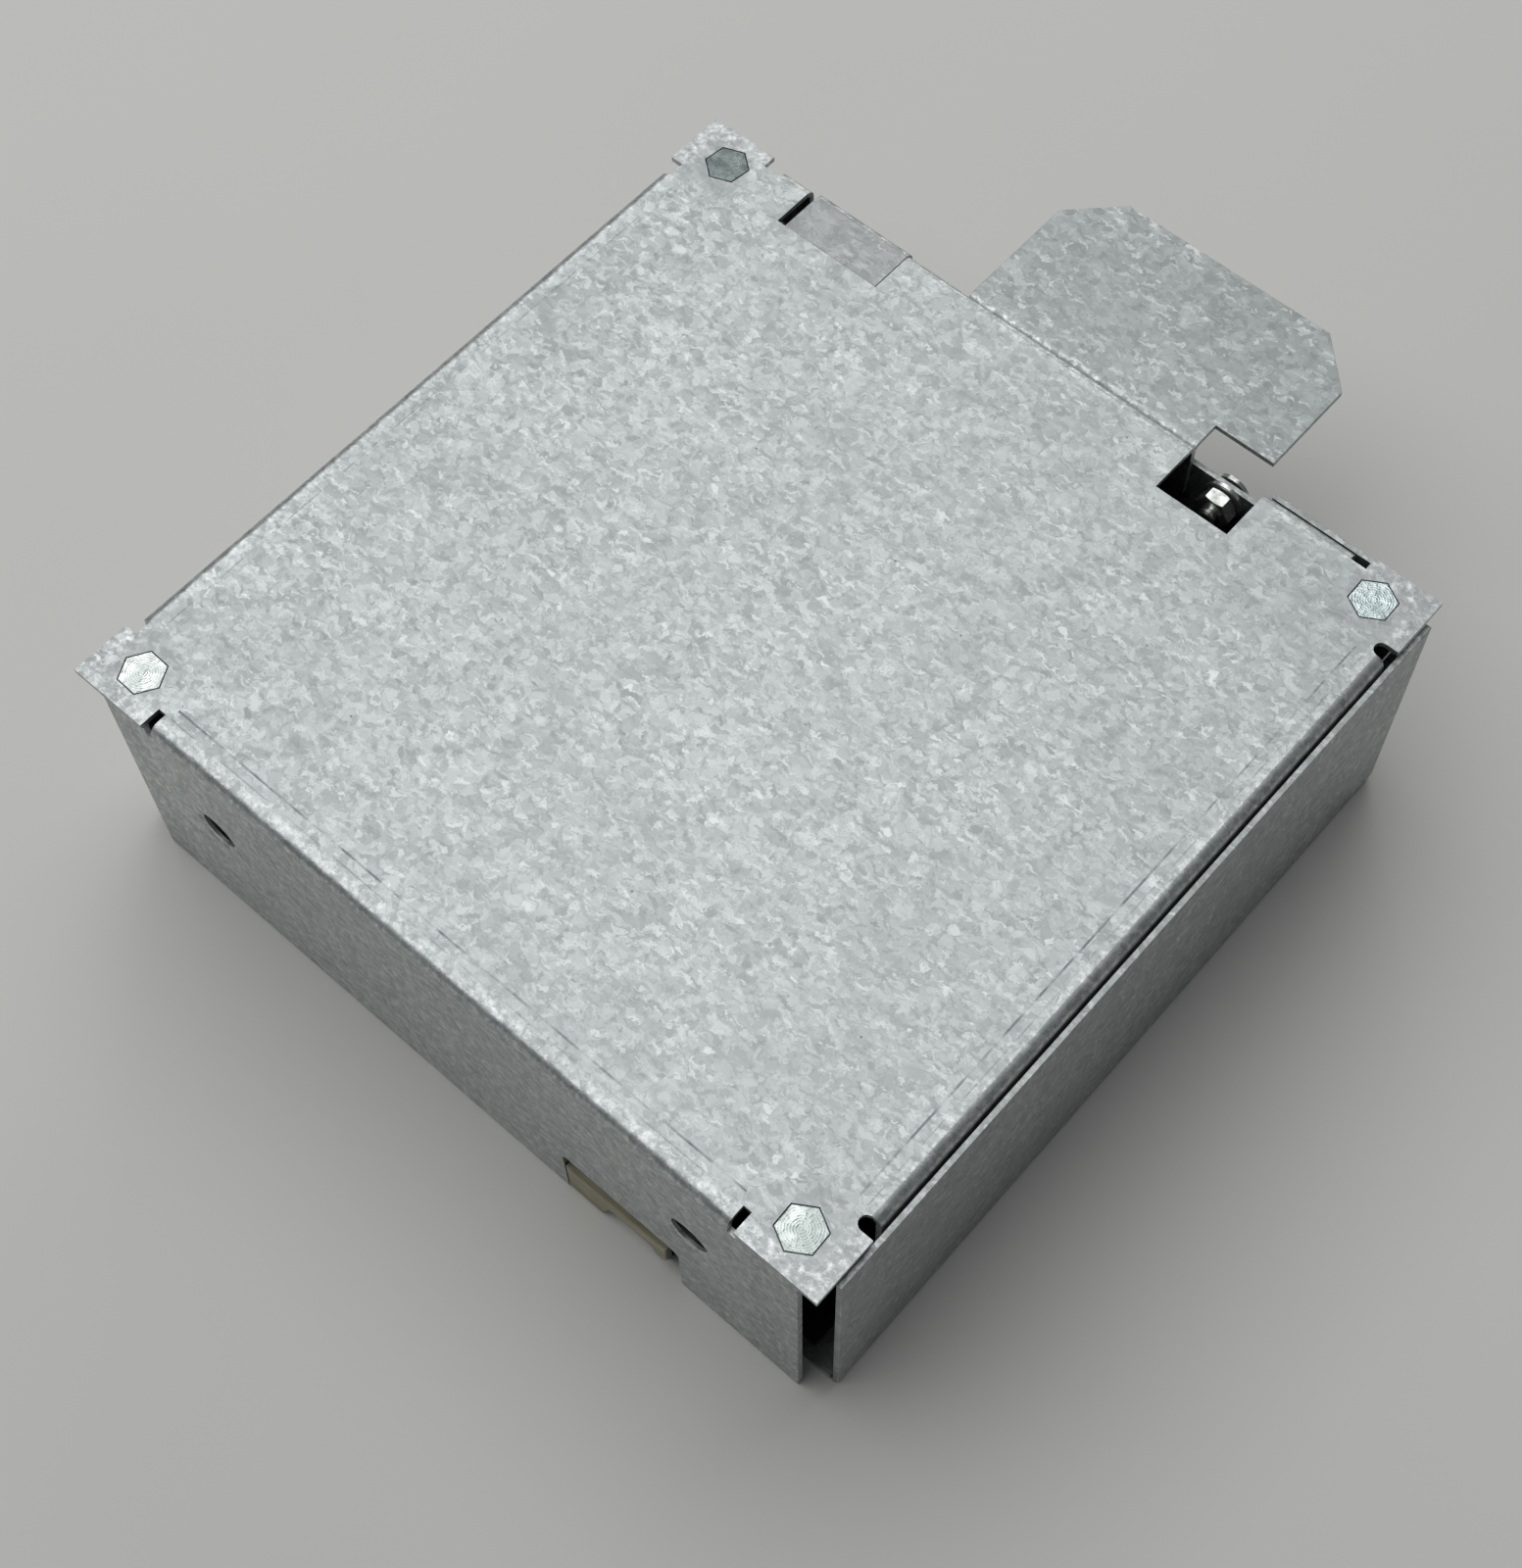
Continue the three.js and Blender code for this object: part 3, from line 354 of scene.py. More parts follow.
def glass_epoxy(name, dark, light, gloss, pitch=0.55):
    """Woven-glass epoxy laminate with a dark face, pressed flat."""
    # The weave's yarns, half a millimetre apart, print through the resin as a faint square ripple.
    look, tree, surface = look_of(name)
    place = add(tree, "ShaderNodeTexCoord").outputs["Object"]
    mm = add(tree, "ShaderNodeVectorMath", {0: place, "Scale": 1000.0}, operation="SCALE").outputs[0]
    parts = add(tree, "ShaderNodeSeparateXYZ", {0: mm})
    warp = add(tree, "ShaderNodeMath", {0: parts.outputs[0], 1: math.pi / pitch}, operation="MULTIPLY").outputs[0]
    warp = add(tree, "ShaderNodeMath", {0: warp}, operation="SINE").outputs[0]
    weft = add(tree, "ShaderNodeMath", {0: parts.outputs[1], 1: math.pi / pitch}, operation="MULTIPLY").outputs[0]
    weft = add(tree, "ShaderNodeMath", {0: weft}, operation="SINE").outputs[0]
    weave = add(tree, "ShaderNodeMath", {0: warp, 1: weft}, operation="MULTIPLY").outputs[0]
    resin = add(tree, "ShaderNodeTexNoise", {"Vector": mm, "Scale": 0.12, "Detail": 4.0}).outputs[0]
    shade = add(tree, "ShaderNodeMath", {0: weave, 1: 0.14, 2: resin}, operation="MULTIPLY_ADD").outputs[0]
    shade = add(tree, "ShaderNodeMapRange", {"Value": shade, "From Min": 0.25, "From Max": 0.75}).outputs[0]
    colour = add(tree, "ShaderNodeMix", {"Factor": shade, 6: linear(dark), 7: linear(light)}, data_type="RGBA")
    tree.links.new(colour.outputs[2], surface.inputs["Base Color"])
    rough = add(tree, "ShaderNodeMapRange", {"Value": shade, "To Min": gloss - 0.06, "To Max": gloss + 0.08})
    tree.links.new(rough.outputs[0], surface.inputs["Roughness"])
    bump = add(tree, "ShaderNodeBump", {"Height": weave, "Strength": 0.25, "Distance": 0.00004})
    tree.links.new(bump.outputs[0], surface.inputs["Normal"])
    return look


def sawn_laminate():
    """The cut edge of glass-epoxy laminate, sawn and unsealed."""
    # The bare plies show as olive and straw layers a fifth of a millimetre thick, fuzzy with cut glass.
    look, tree, surface = look_of("sawn_laminate_edge", Roughness=0.78)
    place = add(tree, "ShaderNodeTexCoord").outputs["Object"]
    mm = add(tree, "ShaderNodeVectorMath", {0: place, "Scale": 1000.0}, operation="SCALE").outputs[0]
    layered = add(tree, "ShaderNodeMapping", {"Vector": mm, "Scale": (0.5, 0.5, 5.0)}).outputs[0]
    plies = add(tree, "ShaderNodeTexNoise", {"Vector": layered, "Scale": 1.0, "Detail": 3.0}).outputs[0]
    plies = add(tree, "ShaderNodeMapRange", {"Value": plies, "From Min": 0.36, "From Max": 0.64}).outputs[0]
    colour = add(tree, "ShaderNodeMix", {"Factor": plies, 6: linear("6E6639"), 7: linear("A79C62")},
                 data_type="RGBA")
    tree.links.new(colour.outputs[2], surface.inputs["Base Color"])
    bump = add(tree, "ShaderNodeBump", {"Height": plies, "Strength": 0.5, "Distance": 0.0001})
    tree.links.new(bump.outputs[0], surface.inputs["Normal"])
    return look


def moulded_polyamide():
    """Glass-filled polyamide 66, injection moulded in a spark-eroded tool."""
    # The tool leaves an even fine grain, and the glass comes to the skin in pale swirls.
    look, tree, surface = look_of("moulded_polyamide")
    place = add(tree, "ShaderNodeTexCoord").outputs["Object"]
    mm = add(tree, "ShaderNodeVectorMath", {0: place, "Scale": 1000.0}, operation="SCALE").outputs[0]
    swirl = add(tree, "ShaderNodeTexNoise", {"Vector": mm, "Scale": 0.1, "Detail": 5.0, "Distortion": 0.8}).outputs[0]
    swirl = add(tree, "ShaderNodeMapRange", {"Value": swirl, "From Min": 0.4, "From Max": 0.66}).outputs[0]
    colour = add(tree, "ShaderNodeMix", {"Factor": swirl, 6: linear("6B6F71"), 7: linear("83878A")},
                 data_type="RGBA")
    tree.links.new(colour.outputs[2], surface.inputs["Base Color"])
    rough = add(tree, "ShaderNodeMapRange", {"Value": swirl, "To Min": 0.5, "To Max": 0.62}).outputs[0]
    tree.links.new(rough, surface.inputs["Roughness"])
    grain = add(tree, "ShaderNodeTexNoise", {"Vector": mm, "Scale": 3.2, "Detail": 2.0}).outputs[0]
    bump = add(tree, "ShaderNodeBump", {"Height": grain, "Strength": 0.35, "Distance": 0.00007})
    tree.links.new(bump.outputs[0], surface.inputs["Normal"])
    return look


def matt_floor(colour):
    """Seamless studio board, matt painted."""
    # A roller leaves a barely visible cloudiness.
    look, tree, surface = look_of("matt_floor", Roughness=0.8)
    place = add(tree, "ShaderNodeTexCoord").outputs["Object"]
    cloud = add(tree, "ShaderNodeTexNoise", {"Vector": place, "Scale": 9.0, "Detail": 4.0}).outputs[0]
    darker = tuple(channel * 0.97 for channel in colour[:3]) + (1.0,)
    mixed = add(tree, "ShaderNodeMix", {"Factor": cloud, 6: darker, 7: tuple(colour)}, data_type="RGBA")
    tree.links.new(mixed.outputs[2], surface.inputs["Base Color"])
    return look


# ---- shapes ----
def shell_copy(name, nodes, radius, cut_width=0.0, segments=2, degrees=32):
    """A copy of CAD nodes with rounded edges. Faces that only span the sheet's thickness get the second material."""
    build = bmesh.new()
    for node in nodes:
        build.from_mesh(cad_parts[node].data)
    bmesh.ops.remove_doubles(build, verts=build.verts, dist=0.004 * MM)
    bmesh.ops.dissolve_limit(build, angle_limit=math.radians(0.6), verts=build.verts, edges=build.edges)
    sharp = {edge: edge.calc_face_angle(math.pi) > math.radians(55) for edge in build.edges}
    for face in build.faces:
        round_way = face.calc_perimeter()
        crisp = sum(edge.calc_length() for edge in face.edges if sharp[edge])
        thin = 2 * face.calc_area() / round_way < cut_width
        face.material_index = 1 if thin and crisp / round_way > 0.25 else 0
        face.smooth = True
    mesh = bpy.data.meshes.new(name)
    build.to_mesh(mesh)
    build.free()
    piece = new_object(name, mesh)
    bevel = piece.modifiers.new("edge", "BEVEL")
    bevel.width = radius
    bevel.segments = segments
    bevel.limit_method = "ANGLE"
    bevel.angle_limit = math.radians(degrees)
    bevel.miter_outer = "MITER_ARC"
    flatten = piece.modifiers.new("flat_faces", "WEIGHTED_NORMAL")
    flatten.weight = 100
    return piece


def fastener_tree(name, **sizes):
    """A geometry tree that takes points and these named lengths. Returns it with its input sockets."""
    tree = bpy.data.node_groups.new(name, "GeometryNodeTree")
    tree.interface.new_socket("Points", in_out="INPUT", socket_type="NodeSocketGeometry")
    for label, value in sizes.items():
        socket = tree.interface.new_socket(label.replace("_", " "), in_out="INPUT", socket_type="NodeSocketFloat")
        socket.subtype = "DISTANCE"
        socket.default_value = value
    tree.interface.new_socket("Geometry", in_out="OUTPUT", socket_type="NodeSocketGeometry")
    return tree, add(tree, "NodeGroupInput").outputs


def turn_up(tree, profile, segments):
    """A solid turned about Z from (radius, height) pairs, which run from bottom to top."""
    rows = len(profile)
    grid = add(tree, "GeometryNodeMeshGrid", {"Vertices X": segments + 1, "Vertices Y": rows})
    index = add(tree, "GeometryNodeInputIndex").outputs[0]
    row = add(tree, "FunctionNodeIntegerMath", {0: index, 1: rows}, operation="MODULO").outputs[0]
    column = add(tree, "FunctionNodeIntegerMath", {0: index, 1: rows}, operation="DIVIDE_FLOOR").outputs[0]
    angle = add(tree, "ShaderNodeMath", {0: column, 1: math.tau / segments}, operation="MULTIPLY").outputs[0]
    choose = add(tree, "GeometryNodeIndexSwitch", data_type="VECTOR")
    while len(choose.index_switch_items) < rows:
        choose.index_switch_items.new()
    tree.links.new(row, choose.inputs[0])
    for number, (radius, height) in enumerate(profile):
        corner = add(tree, "ShaderNodeCombineXYZ", {0: radius, 2: height})
        tree.links.new(corner.outputs[0], choose.inputs[number + 1])
    spun = add(tree, "ShaderNodeVectorRotate", {"Vector": choose.outputs[0], "Axis": (0, 0, 1), "Angle": angle},
               rotation_type="AXIS_ANGLE").outputs[0]
    moved = add(tree, "GeometryNodeSetPosition", {"Geometry": grid.outputs["Mesh"], "Position": spun}).outputs[0]
    return add(tree, "GeometryNodeMergeByDistance", {"Geometry": moved, "Distance": 0.001 * MM}).outputs[0]


def put_out(tree, points, solids, look):
    """Keeps each fastener's own coordinates, sets it on every point, and gives the result its material."""
    whole = add(tree, "GeometryNodeJoinGeometry")
    for solid in solids:
        tree.links.new(solid, whole.inputs[0])
    position = add(tree, "GeometryNodeInputPosition").outputs[0]
    kept = add(tree, "GeometryNodeStoreNamedAttribute", {"Geometry": whole.outputs[0], "Name": "own_place",
                                                         "Value": position}, data_type="FLOAT_VECTOR")
    facing = add(tree, "GeometryNodeInputNamedAttribute", {"Name": "facing"}, data_type="FLOAT_VECTOR").outputs[0]
    turn = add(tree, "FunctionNodeEulerToRotation", {0: facing}).outputs[0]
    copies = add(tree, "GeometryNodeInstanceOnPoints", {"Points": points, "Instance": kept.outputs[0],
                                                        "Rotation": turn}).outputs[0]
    real = add(tree, "GeometryNodeRealizeInstances", {0: copies}).outputs[0]
    done = add(tree, "GeometryNodeSetMaterial", {"Geometry": real, "Material": look}).outputs[0]
    add(tree, "NodeGroupOutput", {0: done})


def grown(name, tree, spots, **sizes):
    """Runs a fastener tree on a point for each (place, facing) and keeps the result as a plain mesh."""
    points = bpy.data.meshes.new(name + "_points")
    points.from_pydata([tuple(place) for place, _ in spots], [], [])
    facing = points.attributes.new("facing", "FLOAT_VECTOR", "POINT")
    for item, (_, turn) in zip(facing.data, spots):
        item.vector = turn
    seat = new_object(name + "_points", points)
    modifier = seat.modifiers.new("fastener", "NODES")
    modifier.node_group = tree
    wanted = {label.replace("_", " "): value for label, value in sizes.items()}
    for item in tree.interface.items_tree:
        if item.item_type == "SOCKET" and item.in_out == "INPUT" and item.name in wanted:
            modifier[item.identifier] = wanted.pop(item.name)
    if wanted:
        raise RuntimeError(f"{tree.name} has no size named {', '.join(wanted)}")
    deps = bpy.context.evaluated_depsgraph_get()
    mesh = bpy.data.meshes.new_from_object(seat.evaluated_get(deps), preserve_all_data_layers=True, depsgraph=deps)
    mesh.name = name
    bpy.data.objects.remove(seat)
    build = bmesh.new()
    build.from_mesh(mesh)
    bmesh.ops.recalc_face_normals(build, faces=build.faces)
    build.to_mesh(mesh)
    build.free()
    if len(mesh.polygons) < 12 * len(spots):
        raise RuntimeError(f"{name} came out empty")
    mesh.shade_smooth()
    mesh.set_sharp_from_angle(angle=math.radians(34))
    return new_object(name, mesh)


def end_spot(node, axis, top, inward=0.0):
    """The middle of a CAD node's end face across an axis, moved inward by a length."""
    low, high = (Vector(corner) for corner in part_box(node))
    place = (low + high) / 2
    place[axis] = high[axis] - inward if top else low[axis] + inward
    return place


def screw_tree():
    """A pan or cheese head over a threaded shank, with two crossed slots sunk in the head."""
    tree, size = fastener_tree(
        "headed_screw", Head_radius=3.8 * MM, Rim_height=1.2 * MM, Crown_radius=2.9 * MM, Head_height=2.6 * MM,
        Shank_radius=1.7 * MM, Tip_radius=1.3 * MM, Length=9 * MM, Thread_start=8.4 * MM, Thread_length=8 * MM,
        Thread_pitch=0.7 * MM, Slot_width=0.9 * MM, Slot_length=4 * MM, Cross_length=4 * MM, Slot_depth=1.1 * MM)
    below = add(tree, "ShaderNodeMath", {0: size["Length"], 1: -1.0}, operation="MULTIPLY").outputs[0]
    taper = add(tree, "ShaderNodeMath", {0: below, 1: 0.45 * MM}, operation="ADD").outputs[0]
    head = turn_up(tree, [
        (0.0, below), (size["Tip radius"], below), (size["Shank radius"], taper), (size["Shank radius"], 0.0),
        (size["Head radius"], 0.0), (size["Head radius"], size["Rim height"]),
        (size["Crown radius"], size["Head height"]), (0.0, size["Head height"])], 32)
    deep = add(tree, "ShaderNodeMath", {0: size["Slot depth"], 1: 2.0}, operation="MULTIPLY").outputs[0]
    one = add(tree, "ShaderNodeCombineXYZ", {0: size["Slot length"], 1: size["Slot width"], 2: deep}).outputs[0]
    other = add(tree, "ShaderNodeCombineXYZ", {0: size["Slot width"], 1: size["Cross length"], 2: deep}).outputs[0]
    top = add(tree, "ShaderNodeCombineXYZ", {2: size["Head height"]}).outputs[0]
    for extent in (one, other):
        cutter = add(tree, "GeometryNodeMeshCube", {"Size": extent}).outputs["Mesh"]
        cutter = add(tree, "GeometryNodeTransform", {"Geometry": cutter, "Translation": top}).outputs[0]
        head = add(tree, "GeometryNodeMeshBoolean", {0: head, 1: cutter}, operation="DIFFERENCE",
                   solver="EXACT").outputs[0]
    turns = add(tree, "ShaderNodeMath", {0: size["Thread length"], 1: size["Thread pitch"]}, operation="DIVIDE")
    helix = add(tree, "GeometryNodeCurveSpiral", {
        "Resolution": 18, "Rotations": turns.outputs[0], "Start Radius": size["Shank radius"],
        "End Radius": size["Shank radius"], "Height": size["Thread length"]}).outputs[0]
    ridge = add(tree, "ShaderNodeMath", {0: size["Thread pitch"], 1: 0.42}, operation="MULTIPLY").outputs[0]
    ridge = add(tree, "GeometryNodeCurvePrimitiveCircle", {"Resolution": 3, "Radius": ridge}).outputs[0]
    thread = add(tree, "GeometryNodeCurveToMesh", {0: helix, "Profile Curve": ridge, "Fill Caps": True}).outputs[0]
    foot = add(tree, "ShaderNodeMath", {0: size["Thread start"], 1: -1.0}, operation="MULTIPLY").outputs[0]
    foot = add(tree, "ShaderNodeCombineXYZ", {2: foot}).outputs[0]
    thread = add(tree, "GeometryNodeTransform", {"Geometry": thread, "Translation": foot}).outputs[0]
    put_out(tree, size["Points"], [head, thread], screw_look())
    return tree


def screw_look():
    return bpy.data.materials.get("plated_screw_steel") or plated_screw_steel()


def washer_tree():
    """A stamped flat washer: rounded on the side the punch came from."""
    tree, size = fastener_tree("flat_washer", Hole_radius=2.25 * MM, Outer_radius=4.2 * MM, Thickness=0.8 * MM)
    lip = add(tree, "ShaderNodeMath", {0: size["Outer radius"], 1: -0.15 * MM}, operation="ADD").outputs[0]
    crest = add(tree, "ShaderNodeMath", {0: size["Thickness"], 1: -0.15 * MM}, operation="ADD").outputs[0]
    ring = turn_up(tree, [
        (size["Hole radius"], 0.0), (size["Outer radius"], 0.0), (size["Outer radius"], crest),
        (lip, size["Thickness"]), (size["Hole radius"], size["Thickness"]), (size["Hole radius"], 0.0)], 40)
    put_out(tree, size["Points"], [ring], screw_look())
    return tree


def nut_tree():
    """A hexagon nut with both faces turned off at the corners."""
    tree, size = fastener_tree("hexagon_nut", Corner_radius=4.04 * MM, Face_radius=3.4 * MM, Thickness=3.2 * MM,
                               Chamfer=0.4 * MM, Bore_radius=2.3 * MM)
    prism = turn_up(tree, [(0.0, 0.0), (size["Corner radius"], 0.0), (size["Corner radius"], size["Thickness"]),
                           (0.0, size["Thickness"])], 6)
    shoulder = add(tree, "ShaderNodeMath", {0: size["Thickness"], 1: size["Chamfer"]}, operation="SUBTRACT")
    wide = add(tree, "ShaderNodeMath", {0: size["Corner radius"], 1: 0.02 * MM}, operation="ADD").outputs[0]
    cone = turn_up(tree, [
        (0.0, 0.0), (size["Face radius"], 0.0), (wide, size["Chamfer"]), (wide, shoulder.outputs[0]),
        (size["Face radius"], size["Thickness"]), (0.0, size["Thickness"])], 48)
    bore_top = add(tree, "ShaderNodeMath", {0: size["Thickness"], 1: 1 * MM}, operation="ADD").outputs[0]
    bore = turn_up(tree, [(0.0, -1 * MM), (size["Bore radius"], -1 * MM), (size["Bore radius"], bore_top),
                          (0.0, bore_top)], 32)
    body = add(tree, "GeometryNodeMeshBoolean", {1: prism}, operation="INTERSECT", solver="EXACT")
    tree.links.new(cone, body.inputs[1])
    body = add(tree, "GeometryNodeMeshBoolean", {0: body.outputs[0], 1: bore}, operation="DIFFERENCE",
               solver="EXACT").outputs[0]
    put_out(tree, size["Points"], [body], screw_look())
    return tree


# ---- settings ----
class SheetSettings(bpy.types.PropertyGroup):
    grain: FloatProperty(name="Crystal size", description="Width of the zinc crystals", default=2.1 * MM,
                         min=0.5 * MM, unit="LENGTH")
    tilt: FloatProperty(name="Crystal tilt", description="How far the crystals lean from the sheet, as a slope",
                        default=0.058, min=0.0)
    metallic: FloatProperty(name="Metallic", description="How metallic the weathered zinc is", default=0.82, min=0.0,
                            max=1.0, subtype="FACTOR")
    roughness: FloatProperty(name="Roughness", description="Roughness of the zinc", default=0.42, min=0.0, max=1.0,
                             subtype="FACTOR")
    edge_radius: FloatProperty(name="Edge radius", description="Rounding of the sheet's cut edges",
                               default=0.14 * MM, min=0.0, unit="LENGTH")
    thickness: FloatProperty(name="Sheet thickness", description="Faces narrower than this are cut edges",
                             default=1.2 * MM, min=0.0, unit="LENGTH")


class FastenerSettings(bpy.types.PropertyGroup):
    flats: FloatProperty(name="Standoff flats", description="Standoff head across flats", default=8 * MM,
                         min=1 * MM, unit="LENGTH")
    head_depth: FloatProperty(name="Standoff head", description="Depth of the standoff head", default=0.9 * MM,
                              min=0.1 * MM, unit="LENGTH")
    barrel: FloatProperty(name="Standoff barrel", description="Radius of the standoff barrel", default=3.5 * MM,
                          min=1 * MM, unit="LENGTH")
    bore: FloatProperty(name="Thread", description="Radius of the standoff thread", default=2 * MM, min=0.5 * MM,
                        unit="LENGTH")


class MouldingSettings(bpy.types.PropertyGroup):
    trim_radius: FloatProperty(name="Trim edge", description="Rounding of the nylon edge trim", default=0.28 * MM,
                               min=0.0, unit="LENGTH")
    block_radius: FloatProperty(name="Block edge", description="Rounding of the terminal block", default=0.35 * MM,
                                min=0.0, unit="LENGTH")
    board_radius: FloatProperty(name="Board edge", description="Rounding of the sawn laminate edges",
                                default=0.1 * MM, min=0.0, unit="LENGTH")


class StageSettings(bpy.types.PropertyGroup):
    floor_colour: FloatVectorProperty(name="Floor colour", description="Colour of the floor", subtype="COLOR", size=4,
                                      default=linear("D9D9D5"), min=0.0, max=1.0)
    key_power: FloatProperty(name="Key power", description="Power of the overhead softbox", default=20.5,
                             unit="POWER", min=0.0)
    back_power: FloatProperty(name="Back power", description="Power of the light behind the object", default=12.0,
                              unit="POWER", min=0.0)
    sky: FloatProperty(name="Sky", description="Strength of the even light all round", default=0.14, min=0.0)
    lens: FloatProperty(name="Lens", description="Focal length of the camera, in millimetres", default=58.5, min=1.0)


class BoxSettings(bpy.types.PropertyGroup):
    sheet: PointerProperty(type=SheetSettings)
    fasteners: PointerProperty(type=FastenerSettings)
    mouldings: PointerProperty(type=MouldingSettings)
    stage: PointerProperty(type=StageSettings)


# ---- pieces ----
class BOX_OT_lid_sheet(bpy.types.Operator):
    """Folded galvanised lid: plate, four ears, front wall and three flanges"""
    bl_idname = "junction_box.lid_sheet"
    bl_label = "Lid sheet"

    def execute(self, context):
        settings = context.scene.junction_box.sheet
        low, high = (Vector(corner) * 1000 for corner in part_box("lid_shell"))
        lines = (
            (1, low.y + 4.6, 0.16, low.x + 21, high.x - 21, 0.45),
            (1, low.y + 6.7, 0.22, low.x + 21, high.x - 21, 0.9),
            (0, high.x - 4.6, 0.16, low.y + 18, high.y - 18, 0.45),
            (0, high.x - 6.7, 0.22, low.y + 18, high.y - 18, 0.9),
            (0, low.x + 5.6, 0.18, low.y + 18, high.y - 18, 0.5),
        )
        # bright bands beside the four folds: jaw scuffs, partly painted highlight along the folds
        rub_and_highlight_bands = ((1, low.y + 1.6, 3.4), (0, high.x - 1.8, 3.2), (0, low.x + 1.8, 3.0), (1, high.y - 2.0, 3.0))
        ears = tuple((x, y, 14.0, 14.0, 0.34) for x in (low.x, high.x) for y in (low.y, high.y))
        lid = shell_copy("lid_sheet", ["lid_shell"], settings.edge_radius, settings.thickness * 1.08)
        paint(lid, galvanised_steel("galvanised_steel_lid", settings, "9CA2A1", "C1C7C6", lines, rub_and_highlight_bands, ears),
              sheared_steel("sheared_lid_edge", "4E5254", "B4B9BA"))
        hand_over(lid, "lid", "lid_shell", "lid_shell")
        return {"FINISHED"}


class BOX_OT_body_sheet(bpy.types.Operator):
    """Folded galvanised body: back panel, three walls, hook tab and octagonal flap"""
    bl_idname = "junction_box.body_sheet"
    bl_label = "Body sheet"

    def execute(self, context):
        settings = context.scene.junction_box.sheet
        hook_reach, hook_middle = 12.1, 40.5
        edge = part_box("lid_shell")[1][1] * 1000 - hook_reach
        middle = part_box("lid_shell")[0][0] * 1000 + hook_middle
        # a dark line on the hook tab just behind the lid's edge: painted contact shadow
        lines = ((1, edge + 0.9, 0.3, middle - 12, middle + 12, 0.9),)
        # the hook tab's greyer patch: painted shade where it lies low under the lid's notch
        tab = ((middle, edge + 6, 11, 6, 0.42),)
        body = shell_copy("body_sheet", ["body_shell"], settings.edge_radius, settings.thickness * 1.08)
        paint(body, galvanised_steel("galvanised_steel_body", settings, "8F9493", "B1B7B6", lines, (), tab),
              sheared_steel("sheared_body_edge", "65696B", "D6D9D8"))
        hand_over(body, "body", "body_shell", "body_shell")
        return {"FINISHED"}


class BOX_OT_standoffs(bpy.types.Operator):
    """Four clinched standoffs with flush hexagon heads and plain blind bores for their threads"""
    bl_idname = "junction_box.standoffs"
    bl_label = "Clinched standoffs"

    def execute(self, context):
        settings = context.scene.junction_box.fasteners
        for corner, degrees in zip(CORNERS, (58, 32.5, 22, 31.5)):
            # each head gets its own zinc colour, from near white to dark grey: painted reflection, lit and shaded
            # copies of one plated zinc
            lit_and_shaded_tones = {"front_left": ("CBD3D0", "F0F4F1"), "back_left": ("5E6968", "808B89"),
                     "front_right": ("B7C1BD", "DDE5E1"), "back_right": ("B2C1C4", "DDE9EA")}[corner]
            look = turned_zinc("turned_zinc_" + corner, *lit_and_shaded_tones)
            tree, size = fastener_tree(
                "standoff_" + corner, Corner_radius=4.6 * MM, Face_radius=4.5 * MM, Chamfer=0.09 * MM,
                Head_depth=0.9 * MM, Barrel_radius=3.5 * MM, Bore_radius=2 * MM, Length=12.9 * MM,
                Thread_depth=9 * MM)
            rim = add(tree, "ShaderNodeMath", {0: size["Chamfer"], 1: -1.0}, operation="MULTIPLY").outputs[0]
            neck = add(tree, "ShaderNodeMath", {0: size["Head depth"], 1: -1.0}, operation="MULTIPLY").outputs[0]
            end = add(tree, "ShaderNodeMath", {0: size["Length"], 1: -1.0}, operation="MULTIPLY").outputs[0]
            edge = add(tree, "ShaderNodeMath", {0: end, 1: 0.3 * MM}, operation="ADD").outputs[0]
            root = add(tree, "ShaderNodeMath", {0: end, 1: size["Thread depth"]}, operation="ADD").outputs[0]
            tip = add(tree, "ShaderNodeMath", {0: root, 1: 0.8 * MM}, operation="ADD").outputs[0]
            slim = add(tree, "ShaderNodeMath", {0: size["Barrel radius"], 1: -0.3 * MM}, operation="ADD").outputs[0]
            mouth = add(tree, "ShaderNodeMath", {0: size["Bore radius"], 1: 0.3 * MM}, operation="ADD").outputs[0]
            head = turn_up(tree, [(0.0, neck), (size["Corner radius"], neck), (size["Corner radius"], rim),
                                  (size["Face radius"], 0.0), (0.0, 0.0)], 6)
            barrel = turn_up(tree, [
                (0.0, tip), (size["Bore radius"], root), (size["Bore radius"], edge), (mouth, end), (slim, end),
                (size["Barrel radius"], edge), (size["Barrel radius"], neck), (0.0, neck)], 40)
            put_out(tree, size["Points"], [head, barrel], look)
            node = "standoff_" + corner
            low, high = (Vector(place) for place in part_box(node))
            spot = end_spot(node, 2, True)
            piece = grown("clinched_" + node, tree, [(spot, (0.0, 0.0, math.radians(degrees)))],
                          Corner_radius=settings.flats / math.sqrt(3),
                          Face_radius=settings.flats / math.sqrt(3) - 0.1 * MM, Head_depth=settings.head_depth,
                          Barrel_radius=settings.barrel, Bore_radius=settings.bore, Length=high.z - low.z)
            hand_over(piece, "lid", "zinc_plated_steel", node)
        return {"FINISHED"}


